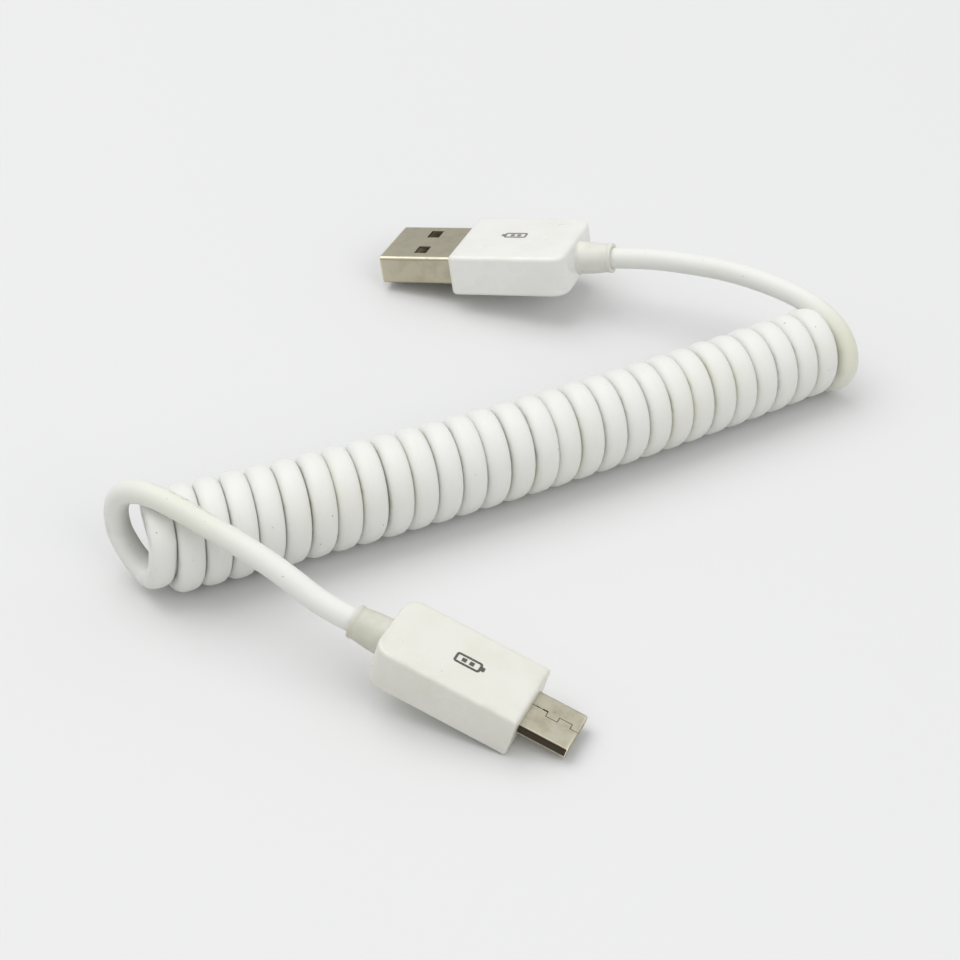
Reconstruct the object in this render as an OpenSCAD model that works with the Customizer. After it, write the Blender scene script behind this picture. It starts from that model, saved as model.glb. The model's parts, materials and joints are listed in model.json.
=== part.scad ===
// Charging cable: a coiled cord with a USB-A plug at one end and a Micro-B plug at the other.
// Millimetres. The origin is the point on the ground midway between the two plugs, and +Z is up.
// Each plug is built in a frame of its own: x = 0 is the housing's front face, +x runs to the
// tip, +z is the marked side. The placement values below then lay it on the ground.

/* [Cord] */
// Outside diameter of the jacket
cord_d = 3.2; // [2.8:0.1:3.6]
// Bore of the jacket, round the four wires
jacket_bore = 2.3; // [2.2:0.05:2.5]
// Diameter of one insulated wire
wire_d = 0.7; // [0.6:0.02:0.74]

/* [Coil] */
// Number of turns
coil_turns = 29; // [24:1:32]
// Distance from one turn to the next
coil_pitch = 3.6; // [3.4:0.05:3.8]
// Outside radius at the Micro-B end
coil_r_micro = 7.15; // [6.4:0.05:7.6]
// Outside radius at the USB-A end
coil_r_usb = 6.4; // [6:0.05:7.4]
// How far the coil's axis turns from end to end, in degrees
coil_bend = 10.5; // [2:0.5:16]

/* [USB-A plug] */
// Width of the metal shell
usb_shell_w = 12; // [11.8:0.1:12.2]
// Height of the metal shell
usb_shell_h = 4.5; // [4.3:0.1:4.7]
// Length of the shell outside the housing
usb_shell_len = 12; // [11:0.1:12.5]
// Thickness of the shell's sheet
usb_shell_wall = 0.3; // [0.25:0.05:0.35]
// Outside radius of the shell's long edges
usb_shell_r = 0.6; // [0.4:0.1:0.8]
// Size of a latch window across the shell
usb_window_w = 2.5; // [2:0.1:2.8]
// Size of a latch window along the shell
usb_window_l = 2; // [1.6:0.1:2.4]
// Distance from the tip back to the windows' centres
usb_window_back = 6.2; // [5.6:0.1:6.8]
// Distance between the two windows' centres
usb_window_span = 5.9; // [5.4:0.1:6.2]
// Width of the housing
usb_housing_w = 15.6; // [14.8:0.1:16.4]
// Height of the housing
usb_housing_h = 6.6; // [6.4:0.1:8]
// Length of the housing
usb_housing_len = 18.8; // [17:0.1:23]
// Radius of the housing's rear corners, seen from above
usb_rear_r = 2.5; // [1.5:0.1:3]
// Radius of the housing's front corners, seen from above
usb_front_r = 0.9; // [0.4:0.1:1.4]
// Length of the strain relief outside the housing
usb_relief_len = 5.4; // [4:0.1:9]
// Width of a contact blade
usb_blade_w = 1; // [0.9:0.05:1.2]
// Thickness of a contact blade
usb_blade_t = 0.25; // [0.2:0.05:0.3]
// Height of the tongue that carries the blades
usb_tongue_h = 1.85; // [1.7:0.05:1.95]

/* [Micro-B plug] */
// Width of the metal shell
micro_shell_w = 6.85; // [6.8:0.05:6.9]
// Height of the metal shell
micro_shell_h = 1.8; // [1.75:0.05:1.85]
// Length of the shell outside the housing
micro_shell_len = 6.6; // [6.4:0.05:6.9]
// Thickness of the shell's sheet
micro_shell_wall = 0.25; // [0.2:0.05:0.25]
// Size of the bevel along the shell's two lower edges
micro_bevel = 0.7; // [0.6:0.05:0.8]
// Width of the housing
micro_housing_w = 10.8; // [10.2:0.1:11.6]
// Height of the housing
micro_housing_h = 6.4; // [6:0.1:7.4]
// Length of the housing
micro_housing_len = 19.9; // [18:0.1:24]
// Radius of the housing's rear corners, seen from above
micro_rear_r = 2.2; // [1.4:0.1:2.4]
// Radius of the housing's front corners, seen from above
micro_front_r = 0.4; // [0.2:0.1:0.8]
// Length of the strain relief outside the housing
micro_relief_len = 4.6; // [4:0.1:8]
// Distance from one contact to the next
micro_contact_pitch = 0.65; // [0.6:0.01:0.66]
// Width of a contact
micro_contact_w = 0.3; // [0.26:0.02:0.34]
// Thickness of a contact
micro_contact_t = 0.12; // [0.1:0.01:0.14]
// Thickness of a latch arm
latch_t = 0.2; // [0.15:0.01:0.24]
// Width of a latch arm
latch_w = 0.5; // [0.4:0.02:0.54]
// How far a latch hook stands out of the shell
latch_out = 0.3; // [0.2:0.05:0.35]

/* [Walls and clearances] */
// Radius of the housings' long edges
edge_r = 0.45; // [0.2:0.05:0.6]
// Wall of the housing behind its inner space
rear_wall = 0.8; // [0.6:0.1:1.2]
// Wall of the housing in front of its inner space
front_wall = 1.5; // [1.2:0.1:2]
// Sheet thickness of the inner metal cans
can_wall = 0.25; // [0.2:0.05:0.3]
// Wall of the moulded inner covers
cover_wall = 0.75; // [0.6:0.05:0.9]
// Clearance between pieces that sit one in the other
fit_gap = 0.03; // [0.02:0.01:0.05]
// Clearance round an insulator inside its shell
slip_gap = 0.05; // [0.04:0.01:0.06]
// Clearance at each side of a moving arm
arm_gap = 0.04; // [0.03:0.01:0.06]
// Height of the printed charge mark
mark_h = 0.05; // [0.03:0.01:0.08]

/* [Hidden] */
$fn = 48;

// How the plugs lie: each rests on its nose with its cord end up.
usb_turn = [6.2, 10.4, 162];
micro_turn = [0, 14.6, -24.3];
usb_rise = usb_shell_len * sin(usb_turn.y) + cos(usb_turn.y)
    * ((usb_shell_w / 2 - usb_shell_r) * sin(usb_turn.x)
    + (usb_shell_h / 2 - usb_shell_r) * cos(usb_turn.x) + usb_shell_r);
micro_rise = micro_housing_h / 2 * cos(micro_turn.y);
usb_at = [-4.63, 48.53, usb_rise];
micro_at = [3.87, -52.27, micro_rise];

// The leads, from each strain relief to the coil.
micro_route = [[-17.6, -42.6, 9.3], [-19.8, -41.6, 9.9], [-22.4, -40.2, 10.7],
    [-25.3, -38.3, 11.9], [-28.1, -36.4, 12.9], [-31, -34.5, 13.7], [-34, -32.6, 14.4],
    [-37, -30.7, 15], [-40.5, -28.5, 15.7], [-44, -26.2, 15.9], [-46.6, -24.4, 15.2],
    [-48.5, -23.1, 13.8], [-49.5, -22.5, 11.8], [-49.8, -22.3, 9.5], [-49.5, -22.5, 7],
    [-48.5, -23.3, 4.6], [-47, -24.5, 2.7], [-45.5, -25.8, 1.8]];
usb_route = [[18.2, 41.1, 9.35], [21.2, 40.1, 9.95], [24.7, 38.9, 10.5], [29, 37.1, 11],
    [33.5, 34.7, 11.6], [37.5, 31.9, 12.1], [41.5, 28.6, 12.4], [45, 25.5, 12.3],
    [48, 22.8, 11.5], [50.2, 20.6, 9.9], [51.4, 18.9, 7.5], [51.3, 18.1, 5],
    [50.1, 18.5, 2.9], [48.3, 19.8, 1.8]];
lead_sides = 8;

// The coil's axis: an arc over the ground, at the height of the coil's radius.
coil_len = coil_turns * coil_pitch;
coil_mid = [1.9, -4.1];
coil_heading = 26.9;
coil_sides = 24;
coil_rings = 13;

// The inner stations of a plug, measured back from the housing's front face.
cord_r = cord_d / 2;
shell_back = 5;
usb_blade_back = 8;
micro_tail_back = 7;
clamp_len = 1.6;
clamp_wall = 0.37;
flange_t = 0.35;
neck_r = cord_r + 0.45;
flange_r = neck_r + 0.2;
relief_root_r = cord_r + 0.9;
relief_end_r = cord_r + 0.55;
relief_lip = 0.12;
bundle_r = wire_d * 0.85;

usb_can_w = usb_shell_w + 2 * slip_gap + 2 * can_wall;
usb_can_h = max(usb_shell_h + 2 * slip_gap + 2 * can_wall, 2 * flange_r + 0.1);
micro_can_w = micro_shell_w + 1.75;
micro_can_h = max(micro_shell_h + 2 * slip_gap + 2 * can_wall, 2 * flange_r + 0.1);

usb_block_w = usb_shell_w - 2 * usb_shell_wall - 2 * slip_gap;
usb_block_h = usb_shell_h - 2 * usb_shell_wall - 2 * slip_gap;
usb_tongue_top = -usb_block_h / 2 + usb_tongue_h;
usb_blade_y = [-3.5, -1, 1, 3.5];
usb_blade_tip = [usb_shell_len - 1.1, usb_shell_len - 2.1, usb_shell_len - 2.1, usb_shell_len - 1.1];

micro_floor = -micro_shell_h / 2 + micro_shell_wall;
micro_tongue_w = 4 * micro_contact_pitch + micro_contact_w + 2 * arm_gap + 0.72;
micro_contact_z = micro_floor + 0.45;
arm_hinge_x = 0.85;
arm_tip_x = 5.4;
latch_y = 2.3;
latch_z = micro_floor + 0.05 + latch_t / 2;
latch_hinge_x = 0.6;
latch_hook_x = 4.5;
latch_tip_x = 5.3;

// ---------- placing ----------

function spin_x(p, a) = [p.x, p.y * cos(a) - p.z * sin(a), p.y * sin(a) + p.z * cos(a)];
function spin_y(p, a) = [p.x * cos(a) + p.z * sin(a), p.y, p.z * cos(a) - p.x * sin(a)];
function spin_z(p, a) = [p.x * cos(a) - p.y * sin(a), p.x * sin(a) + p.y * cos(a), p.z];
function turned(p, t) = spin_z(spin_y(spin_x(p, t.x), t.y), t.z);
function unit(v) = v / norm(v);

module usb_place() {
    translate(usb_at) rotate(usb_turn) children();
}

module micro_place() {
    translate(micro_at) rotate(micro_turn) children();
}

// ---------- flat shapes ----------

// Rounded rectangle with its centre at the origin.
module rounded(w, h, r) {
    square([w - 2 * r, h], center = true);
    square([w, h - 2 * r], center = true);
    for (x = [-1, 1], y = [-1, 1]) {
        translate([x * (w / 2 - r), y * (h / 2 - r)]) circle(r);
    }
}

// What a corner of radius r loses, for a corner pointing to +x +y at the origin.
module corner_cut(r) {
    translate([-r, -r]) difference() {
        square(r + 0.2);
        circle(r);
    }
}

// A housing's outline from above: front edge at x = 0, rear edge at x = -len.
module outline(len, w, front_r, rear_r) {
    difference() {
        translate([-len, -w / 2]) square([len, w]);
        translate([0, w / 2]) corner_cut(front_r);
        translate([0, -w / 2]) mirror([0, 1]) corner_cut(front_r);
        translate([-len, w / 2]) mirror([1, 0]) corner_cut(rear_r);
        translate([-len, -w / 2]) rotate(180) corner_cut(rear_r);
    }
}

// The Micro-B section, drawn in by "inset" all round: square above, bevelled below.
module micro_section(inset) {
    w = micro_shell_w / 2 - inset;
    top = micro_shell_h / 2 - inset;
    step = inset * tan(22.5);
    side = -micro_shell_h / 2 + micro_bevel + step;
    foot = micro_shell_w / 2 - micro_bevel - step;
    top_r = max(0.4 - inset, 0.1);
    difference() {
        polygon([[w, top], [-w, top], [-w, side], [-foot, -top], [foot, -top], [w, side]]);
        translate([w, top]) corner_cut(top_r);
        translate([-w, top]) mirror([1, 0]) corner_cut(top_r);
    }
}

// ---------- bars, strips and tubes ----------

// The children's flat shape, stood up across the plug from x = back to x = front.
module along(back, front) {
    translate([back, 0, 0]) rotate([90, 0, 90]) linear_extrude(front - back) children();
}

// A flat shape drawn in x and z, w wide across the plug and centred on y.
module strip(y, w) {
    translate([0, y + w / 2, 0]) rotate([90, 0, 0]) linear_extrude(w) children();
}

// A straight round bar along x.
module round_bar(back, front, r) {
    translate([back, 0, 0]) rotate([0, 90, 0]) cylinder(h = front - back, r = r);
}

function ring_way(points, i, first, last) =
    i == 0 ? unit(first) :
    i == len(points) - 1 ? unit(last) : unit(points[i + 1] - points[i - 1]);

// A tube through the points, with its first and last faces square to the given directions.
module tube(points, r, sides, first, last, ref) {
    n = len(points);
    rings = [for (i = [0:n - 1])
        let (way = ring_way(points, i, first, last), u = unit(cross(way, ref)), v = cross(way, u))
        for (k = [0:sides - 1])
            points[i] + r * (cos(360 * k / sides) * u + sin(360 * k / sides) * v)];
    walls = [for (i = [0:n - 2], k = [0:sides - 1])
        let (a = i * sides + k, b = i * sides + (k + 1) % sides)
        for (tri = [[a, b, b + sides], [a, b + sides, a + sides]]) tri];
    caps = [[for (k = [sides - 1:-1:0]) k], [for (k = [0:sides - 1]) (n - 1) * sides + k]];
    polyhedron(rings, concat([for (f = walls) [f[2], f[1], f[0]]], [for (c = caps)
        [for (k = [len(c) - 1:-1:0]) c[k]]]));
}

// ---------- pieces that both plugs have ----------

module housing(len, w, h, front_r, rear_r, can_w, can_h) {
    difference() {
        intersection() {
            translate([0, 0, -h]) linear_extrude(2 * h) outline(len, w, front_r, rear_r);
            along(-len - 1, 1) rounded(w, h, edge_r);
        }
        along(-(len - rear_wall), -front_wall)
            rounded(can_w + 2 * fit_gap, can_h + 2 * fit_gap, 0.4);
        round_bar(-len - 1, -(len - rear_wall) + 0.5, neck_r + fit_gap);
        along(-front_wall - 0.5, 1) children();
    }
}

// The collar behind a housing; its flange is caught inside the housing's rear wall.
module strain_relief(len, relief_len) {
    bore = cord_r + fit_gap;
    inner = -(len - rear_wall);
    tail = -(len + relief_len);
    rotate([0, 90, 0]) rotate_extrude() polygon([
        [bore, tail], [relief_end_r + relief_lip, tail], [relief_end_r + relief_lip, tail + 0.5],
        [relief_end_r, tail + 0.7], [relief_root_r, -len], [neck_r, -len], [neck_r, inner],
        [flange_r, inner], [flange_r, inner + flange_t], [bore, inner + flange_t]]);
}

function can_back(len) = -(len - 3);
function cover_back(len) = can_back(len) + can_wall + 0.15;
function jacket_mouth(len) = cover_back(len) + cover_wall + 0.4;
function bundle_x(len) = jacket_mouth(len) + 1;

// One half of the metal can behind a shell: side is 1 for the top half, -1 for the bottom one.
module rear_shield(side, len, w, h, front_gap) {
    back = can_back(len);
    difference() {
        along(back, -front_wall) rounded(w, h, 0.4);
        along(back + can_wall, -front_wall - front_gap)
            rounded(w - 2 * can_wall, h - 2 * can_wall, 0.2);
        along(-front_wall - 1, 0) children();
        round_bar(back - 1, back + 1, cord_r + 0.1);
        translate([back - 1, -w, side > 0 ? -2 * h : 0]) cube([len, 2 * w, 2 * h]);
    }
}

// The moulded cover over the soldered ends.
module inner_cover(len, w, h) {
    back = cover_back(len);
    difference() {
        along(back, -shell_back - slip_gap) rounded(w, h, 0.2);
        along(back + cover_wall, -shell_back)
            rounded(w - 2 * cover_wall, h - 2 * cover_wall, 0.3);
        round_bar(back - 1, jacket_mouth(len) + slip_gap, cord_r + fit_gap);
    }
}

// The crimped ring that holds the cord, with the strap that ties it to the can.
module cable_clamp(len) {
    back = can_back(len);
    difference() {
        union() {
            round_bar(back - 0.2 - clamp_len, back - 0.2, cord_r + fit_gap + clamp_wall);
            translate([back - 0.7, -0.9, -cord_r - fit_gap - clamp_wall])
                cube([0.7, 1.8, clamp_wall]);
        }
        round_bar(back - 3, back + 1, cord_r + fit_gap);
        translate([back - 3, -0.25, 0]) cube([3.2, 0.5, cord_d]);
    }
}

module jacket_end(len, relief_len) {
    difference() {
        round_bar(-(len + relief_len), jacket_mouth(len), cord_r);
        round_bar(-(len + relief_len) - 1, jacket_mouth(len) + 1, jacket_bore / 2);
    }
}

// A wire from its soldered end at [x, y, z] into the bundle of four, and back along the cord.
module wire(start, slot, len, relief_len) {
    x_end = bundle_x(len);
    goal = bundle_r * [0, cos(slot), sin(slot)];
    easing = [for (t = [0:0.2:1]) [t, (1 - cos(180 * t)) / 2]];
    bend = [for (e = easing) [start.x + (x_end - start.x) * e[0],
        start.y + (goal.y - start.y) * e[1], start.z + (goal.z - start.z) * e[1]]];
    tail = [-(len + relief_len), goal.y, goal.z];
    tube(concat(bend, [tail]), wire_d / 2, 8, [-1, 0, 0], [-1, 0, 0], [0, 0, 1]);
}

// A soldered wire end: a bead on the metal strip, with the bare wire running back from it.
// side is 1 on top of the strip and -1 under it.
module solder_joint(strip_end, wire_x, y, face_z, bare_r, bead_r, side) {
    centre = face_z + side * bare_r;
    difference() {
        translate([0, y, centre]) rotate([0, 90, 0]) rotate_extrude() polygon([
            [0, wire_x], [bare_r, wire_x], [bare_r, strip_end + 0.3], [bead_r, strip_end + 0.7],
            [bead_r, strip_end + 1.5], [0, strip_end + 2.1]]);
        translate([strip_end - 0.05, y - 1, side > 0 ? face_z - 1 : face_z]) cube([3, 2, 1]);
    }
}

// A small battery outline with two bars: a plain charge mark.
module charge_mark(x, y, face_z) {
    translate([x, y, face_z]) linear_extrude(mark_h) {
        difference() {
            rounded(3.6, 1.7, 0.4);
            rounded(3, 1.1, 0.15);
        }
        translate([1.8, -0.35]) square([0.45, 0.7]);
        for (i = [-1, 0]) {
            translate([0.2 + i * 1.05, -0.3]) square([0.6, 0.6]);
        }
    }
}

// ---------- USB-A plug ----------

module usb_shell() {
    color("#b3ae9f") usb_place() difference() {
        along(-shell_back, usb_shell_len) rounded(usb_shell_w, usb_shell_h, usb_shell_r);
        along(-shell_back - 1, usb_shell_len + 1)
            rounded(usb_shell_w - 2 * usb_shell_wall, usb_shell_h - 2 * usb_shell_wall,
                usb_shell_r - usb_shell_wall);
        for (y = [-1, 1]) {
            translate([usb_shell_len - usb_window_back - usb_window_l / 2,
                y * usb_window_span / 2 - usb_window_w / 2, -usb_shell_h])
                cube([usb_window_l, usb_window_w, 2 * usb_shell_h]);
        }
    }
}

module usb_insulator() {
    blade_floor = usb_tongue_top - usb_blade_t;
    color("#f1efe6") usb_place() difference() {
        along(-shell_back, usb_shell_len - 0.4)
            rounded(usb_block_w, usb_block_h, usb_shell_r - usb_shell_wall);
        translate([0.2, -usb_shell_w, usb_tongue_top])
            cube([usb_shell_len, 2 * usb_shell_w, usb_shell_h]);
        for (i = [0:3]) {
            translate([-shell_back - 1, usb_blade_y[i] - usb_blade_w / 2 - fit_gap, blade_floor])
                cube([shell_back + 1 + usb_blade_tip[i] + fit_gap, usb_blade_w + 2 * fit_gap,
                    usb_blade_t + fit_gap]);
        }
    }
}

module usb_contact(i) {
    top = usb_tongue_top;
    tip = usb_blade_tip[i];
    color("#c9a94e") usb_place() strip(usb_blade_y[i], usb_blade_w) polygon([
        [-usb_blade_back, top - usb_blade_t], [tip, top - usb_blade_t],
        [tip, top - usb_blade_t + 0.1], [tip - 0.4, top], [-usb_blade_back, top]]);
}

module usb_contact_power() {
    usb_contact(3);
}

module usb_contact_data_minus() {
    usb_contact(2);
}

module usb_contact_data_plus() {
    usb_contact(1);
}

module usb_contact_ground() {
    usb_contact(0);
}

module usb_can(side) {
    color("#a8a79f") usb_place() rear_shield(side, usb_housing_len, usb_can_w, usb_can_h, -1)
        rounded(usb_shell_w, usb_shell_h, usb_shell_r);
}

module usb_rear_shield_top() {
    usb_can(1);
}

module usb_rear_shield_bottom() {
    usb_can(-1);
}

module usb_inner_cover() {
    color("#e3ddc8") usb_place() inner_cover(usb_housing_len,
        usb_can_w - 2 * can_wall - 2 * slip_gap, usb_can_h - 2 * can_wall - 2 * slip_gap);
}

module usb_cable_clamp() {
    color("#a8a79f") usb_place() cable_clamp(usb_housing_len);
}

module usb_jacket_end() {
    color("#e9e9e4") usb_place() jacket_end(usb_housing_len, usb_relief_len);
}

module usb_wire(i, slot) {
    usb_place() wire([-usb_blade_back - 0.1, usb_blade_y[i], usb_tongue_top + 0.15], slot,
        usb_housing_len, usb_relief_len);
}

module usb_wire_red() {
    color("#b3201c") usb_wire(3, 0);
}

module usb_wire_white() {
    color("#efefea") usb_wire(2, -90);
}

module usb_wire_green() {
    color("#2c7a3a") usb_wire(1, 90);
}

module usb_wire_black() {
    color("#1d1d1d") usb_wire(0, 180);
}

module usb_solder_joints() {
    color("#c7c9c9") usb_place() for (i = [0:3]) {
        solder_joint(-usb_blade_back, -usb_blade_back - 0.1, usb_blade_y[i], usb_tongue_top,
            0.15, 0.36, 1);
    }
}

module usb_housing() {
    color("#efefec") usb_place() housing(usb_housing_len, usb_housing_w, usb_housing_h,
        usb_front_r, usb_rear_r, usb_can_w, usb_can_h)
        rounded(usb_shell_w + 2 * fit_gap, usb_shell_h + 2 * fit_gap, usb_shell_r + fit_gap);
}

module usb_strain_relief() {
    color("#deded8") usb_place() strain_relief(usb_housing_len, usb_relief_len);
}

module usb_mark() {
    color("#4c4842") usb_place() charge_mark(-8.6, -0.6, usb_housing_h / 2);
}

// ---------- Micro-B plug ----------

// The joint line of the folded shell: it steps from side to side, as interlocking tabs do.
module seam_line() {
    gap = 0.06;
    step = 0.8;
    ends = [-6, 2.1, 3.7, 5.45, 8];
    for (i = [0:3]) {
        side = i % 2 == 0 ? 0.35 + step / 2 : 0.35 - step / 2;
        translate([ends[i], side - gap / 2]) square([ends[i + 1] - ends[i] + gap, gap]);
    }
    for (i = [1:3]) {
        translate([ends[i], 0.35 - step / 2 - gap / 2]) square([gap, step + gap]);
    }
}

module micro_shell() {
    color("#a7a08c") micro_place() difference() {
        along(-shell_back + 0.5, micro_shell_len) micro_section(0);
        along(-shell_back, micro_shell_len + 1) micro_section(micro_shell_wall);
        translate([0, 0, micro_shell_h / 2 - micro_shell_wall - 0.1])
            linear_extrude(micro_shell_wall + 0.2) intersection() {
                seam_line();
                translate([-shell_back + 2, -2]) square([20, 4]);
            }
        for (y = [-1, 1]) {
            translate([latch_hook_x - 0.2, y * latch_y - latch_w / 2 - slip_gap,
                -micro_shell_h / 2 - 0.1])
                cube([latch_tip_x - latch_hook_x + 0.5, latch_w + 2 * slip_gap,
                    micro_shell_wall + 0.2]);
        }
    }
}

function micro_y(i) = (i - 2) * micro_contact_pitch;

module micro_insulator() {
    lid = micro_contact_z + micro_contact_t / 2 + fit_gap;
    ledge = latch_z + latch_t / 2 + fit_gap;
    hole_w = micro_contact_w + 2 * arm_gap;
    color("#26262a") micro_place() difference() {
        union() {
            along(-shell_back + 0.5, 0.5) micro_section(micro_shell_wall + slip_gap);
            translate([0.4, -micro_tongue_w / 2, micro_floor + slip_gap])
                cube([5.4, micro_tongue_w, 0.6]);
        }
        for (i = [0:4]) {
            translate([-shell_back, micro_y(i) - hole_w / 2,
                micro_contact_z - micro_contact_t / 2])
                cube([shell_back + 0.5, hole_w, micro_contact_t + fit_gap]);
            translate([0.5, micro_y(i) - hole_w / 2, micro_floor + 0.15])
                cube([5.1, hole_w, 1]);
        }
        for (y = [-1, 1]) {
            translate([-4.04, y * (latch_y + 0.7) - 0.98, -micro_shell_h])
                cube([shell_back, 1.96, micro_shell_h + ledge]);
        }
    }
}

module micro_contact_arm(i) {
    r = micro_contact_t / 2;
    z = micro_contact_z;
    color("#c9a94e") micro_place() strip(micro_y(i), micro_contact_w) {
        translate([arm_hinge_x, z]) circle(r);
        polygon([[arm_hinge_x, z - r], [3.9, z + 0.05], [4.35, z + 0.14], [4.65, z + 0.14],
            [arm_tip_x, z - 0.02], [arm_tip_x, z + 0.1], [4.7, z + 0.26], [4.3, z + 0.26],
            [3.9, z + 0.17], [arm_hinge_x, z + r]]);
    }
}

module micro_contact_arm_1() {
    micro_contact_arm(0);
}

module micro_contact_arm_2() {
    micro_contact_arm(1);
}

module micro_contact_arm_3() {
    micro_contact_arm(2);
}

module micro_contact_arm_4() {
    micro_contact_arm(3);
}

module micro_contact_arm_5() {
    micro_contact_arm(4);
}

module micro_contact_roots() {
    color("#c9a94e") micro_place() for (i = [0:4]) {
        translate([-micro_tail_back, micro_y(i) - micro_contact_w / 2,
            micro_contact_z - micro_contact_t / 2])
            cube([micro_tail_back + arm_hinge_x - micro_contact_t / 2 - 0.01, micro_contact_w,
                micro_contact_t]);
    }
}

module micro_latch_arm(side) {
    r = latch_t / 2;
    hook_z = -micro_shell_h / 2 - latch_out;
    color("#bdbcb4") micro_place() strip(side * latch_y, latch_w) {
        translate([latch_hinge_x, latch_z]) circle(r);
        polygon([[latch_hinge_x, latch_z - r], [latch_hook_x, latch_z - r],
            [latch_hook_x + 0.05, hook_z], [latch_hook_x + 0.25, hook_z],
            [latch_tip_x, latch_z - r], [latch_tip_x, latch_z + r],
            [latch_hinge_x, latch_z + r]]);
    }
}

module micro_latch_arm_left() {
    micro_latch_arm(1);
}

module micro_latch_arm_right() {
    micro_latch_arm(-1);
}

module micro_latch_roots() {
    color("#bdbcb4") micro_place() for (y = [-1, 1]) {
        translate([-4, y * latch_y - latch_w / 2, latch_z - latch_t / 2])
            cube([4 + latch_hinge_x - latch_t / 2 - 0.01, latch_w, latch_t]);
    }
}

module micro_can(side) {
    color("#a8a79f") micro_place()
        rear_shield(side, micro_housing_len, micro_can_w, micro_can_h, can_wall)
        micro_section(-fit_gap);
}

module micro_rear_shield_top() {
    micro_can(1);
}

module micro_rear_shield_bottom() {
    micro_can(-1);
}

module micro_inner_cover() {
    color("#e3ddc8") micro_place() inner_cover(micro_housing_len,
        micro_can_w - 2 * can_wall - 2 * slip_gap, micro_can_h - 2 * can_wall - 2 * slip_gap);
}

module micro_cable_clamp() {
    color("#a8a79f") micro_place() cable_clamp(micro_housing_len);
}

module micro_jacket_end() {
    color("#e9e9e4") micro_place() jacket_end(micro_housing_len, micro_relief_len);
}

micro_bare_r = 0.12;

// side is 1 for a wire soldered on top of its contact and -1 for one under it.
module micro_wire(i, side, slot) {
    z = micro_contact_z + side * (micro_contact_t / 2 + micro_bare_r);
    micro_place() wire([-micro_tail_back - 0.2, micro_y(i), z], slot,
        micro_housing_len, micro_relief_len);
}

module micro_wire_red() {
    color("#b3201c") micro_wire(4, 1, 0);
}

module micro_wire_white() {
    color("#efefea") micro_wire(1, -1, -90);
}

module micro_wire_green() {
    color("#2c7a3a") micro_wire(2, 1, 90);
}

module micro_wire_black() {
    color("#1d1d1d") micro_wire(0, 1, 180);
}

module micro_solder_joints() {
    color("#c7c9c9") micro_place() for (pin = [[0, 1], [1, -1], [2, 1], [4, 1]]) {
        solder_joint(-micro_tail_back, -micro_tail_back - 0.2, micro_y(pin[0]),
            micro_contact_z + pin[1] * micro_contact_t / 2, micro_bare_r, 0.2, pin[1]);
    }
}

module micro_housing() {
    color("#e6e5de") micro_place() housing(micro_housing_len, micro_housing_w, micro_housing_h,
        micro_front_r, micro_rear_r, micro_can_w, micro_can_h)
        micro_section(-fit_gap);
}

module micro_strain_relief() {
    color("#d4d3cb") micro_place() strain_relief(micro_housing_len, micro_relief_len);
}

module micro_mark() {
    color("#4c4842") micro_place() charge_mark(-9.1, -0.2, micro_housing_h / 2);
}

// ---------- cord ----------

function coil_r(s) = coil_r_micro + (coil_r_usb - coil_r_micro) * s / coil_len;
function coil_k() = coil_bend / coil_len;
function coil_way(s) = coil_heading + coil_k() * (s - coil_len / 2);
function coil_axis(s) = let (k = coil_k() * PI / 180, h = coil_way(s))
    [coil_mid.x + (sin(h) - sin(coil_heading)) / k,
    coil_mid.y - (cos(h) - cos(coil_heading)) / k, coil_r(s)];

// The coil as one bent, tapering bar of the coil's outside size, lying on the ground.
module coil() {
    over = coil_pitch / 2;
    stations = [for (i = [0:coil_rings - 1])
        -over + i * (coil_len + 2 * over) / (coil_rings - 1)];
    rings = [for (s = stations)
        let (h = coil_way(s), side = [-sin(h), cos(h), 0], up = [0, 0, 1], r = coil_r(s))
        for (k = [0:coil_sides - 1])
            let (a = 270 + 360 * k / coil_sides)
            coil_axis(s) + r * (cos(a) * side + sin(a) * up)];
    m = coil_sides;
    walls = [for (i = [0:coil_rings - 2], k = [0:m - 1])
        let (a = i * m + k, b = i * m + (k + 1) % m)
        for (tri = [[a, b, b + m], [a, b + m, a + m]]) tri];
    caps = [[for (k = [m - 1:-1:0]) k], [for (k = [0:m - 1]) (coil_rings - 1) * m + k]];
    color("#e8e8e3") polyhedron(rings, [for (f = concat(walls, caps))
        [for (k = [len(f) - 1:-1:0]) f[k]]]);
}

// A route with its first point moved to the cord's real exit, and the next few easing after it.
function tied(route, start) = [for (i = [0:len(route) - 1])
    route[i] + max(0, 1 - i / 6) * (start - route[0])];

module usb_lead() {
    exit = usb_at + turned([-(usb_housing_len + usb_relief_len), 0, 0], usb_turn);
    n = len(usb_route);
    color("#e9e9e4") tube(tied(usb_route, exit), cord_r, lead_sides, turned([-1, 0, 0], usb_turn),
        usb_route[n - 1] - usb_route[n - 2], [0.5, 0.86, 0]);
}

module micro_lead() {
    exit = micro_at + turned([-(micro_housing_len + micro_relief_len), 0, 0], micro_turn);
    n = len(micro_route);
    color("#e9e9e4") tube(tied(micro_route, exit), cord_r, lead_sides,
        turned([-1, 0, 0], micro_turn), micro_route[n - 1] - micro_route[n - 2],
        [0.45, -0.89, 0]);
}

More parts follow.
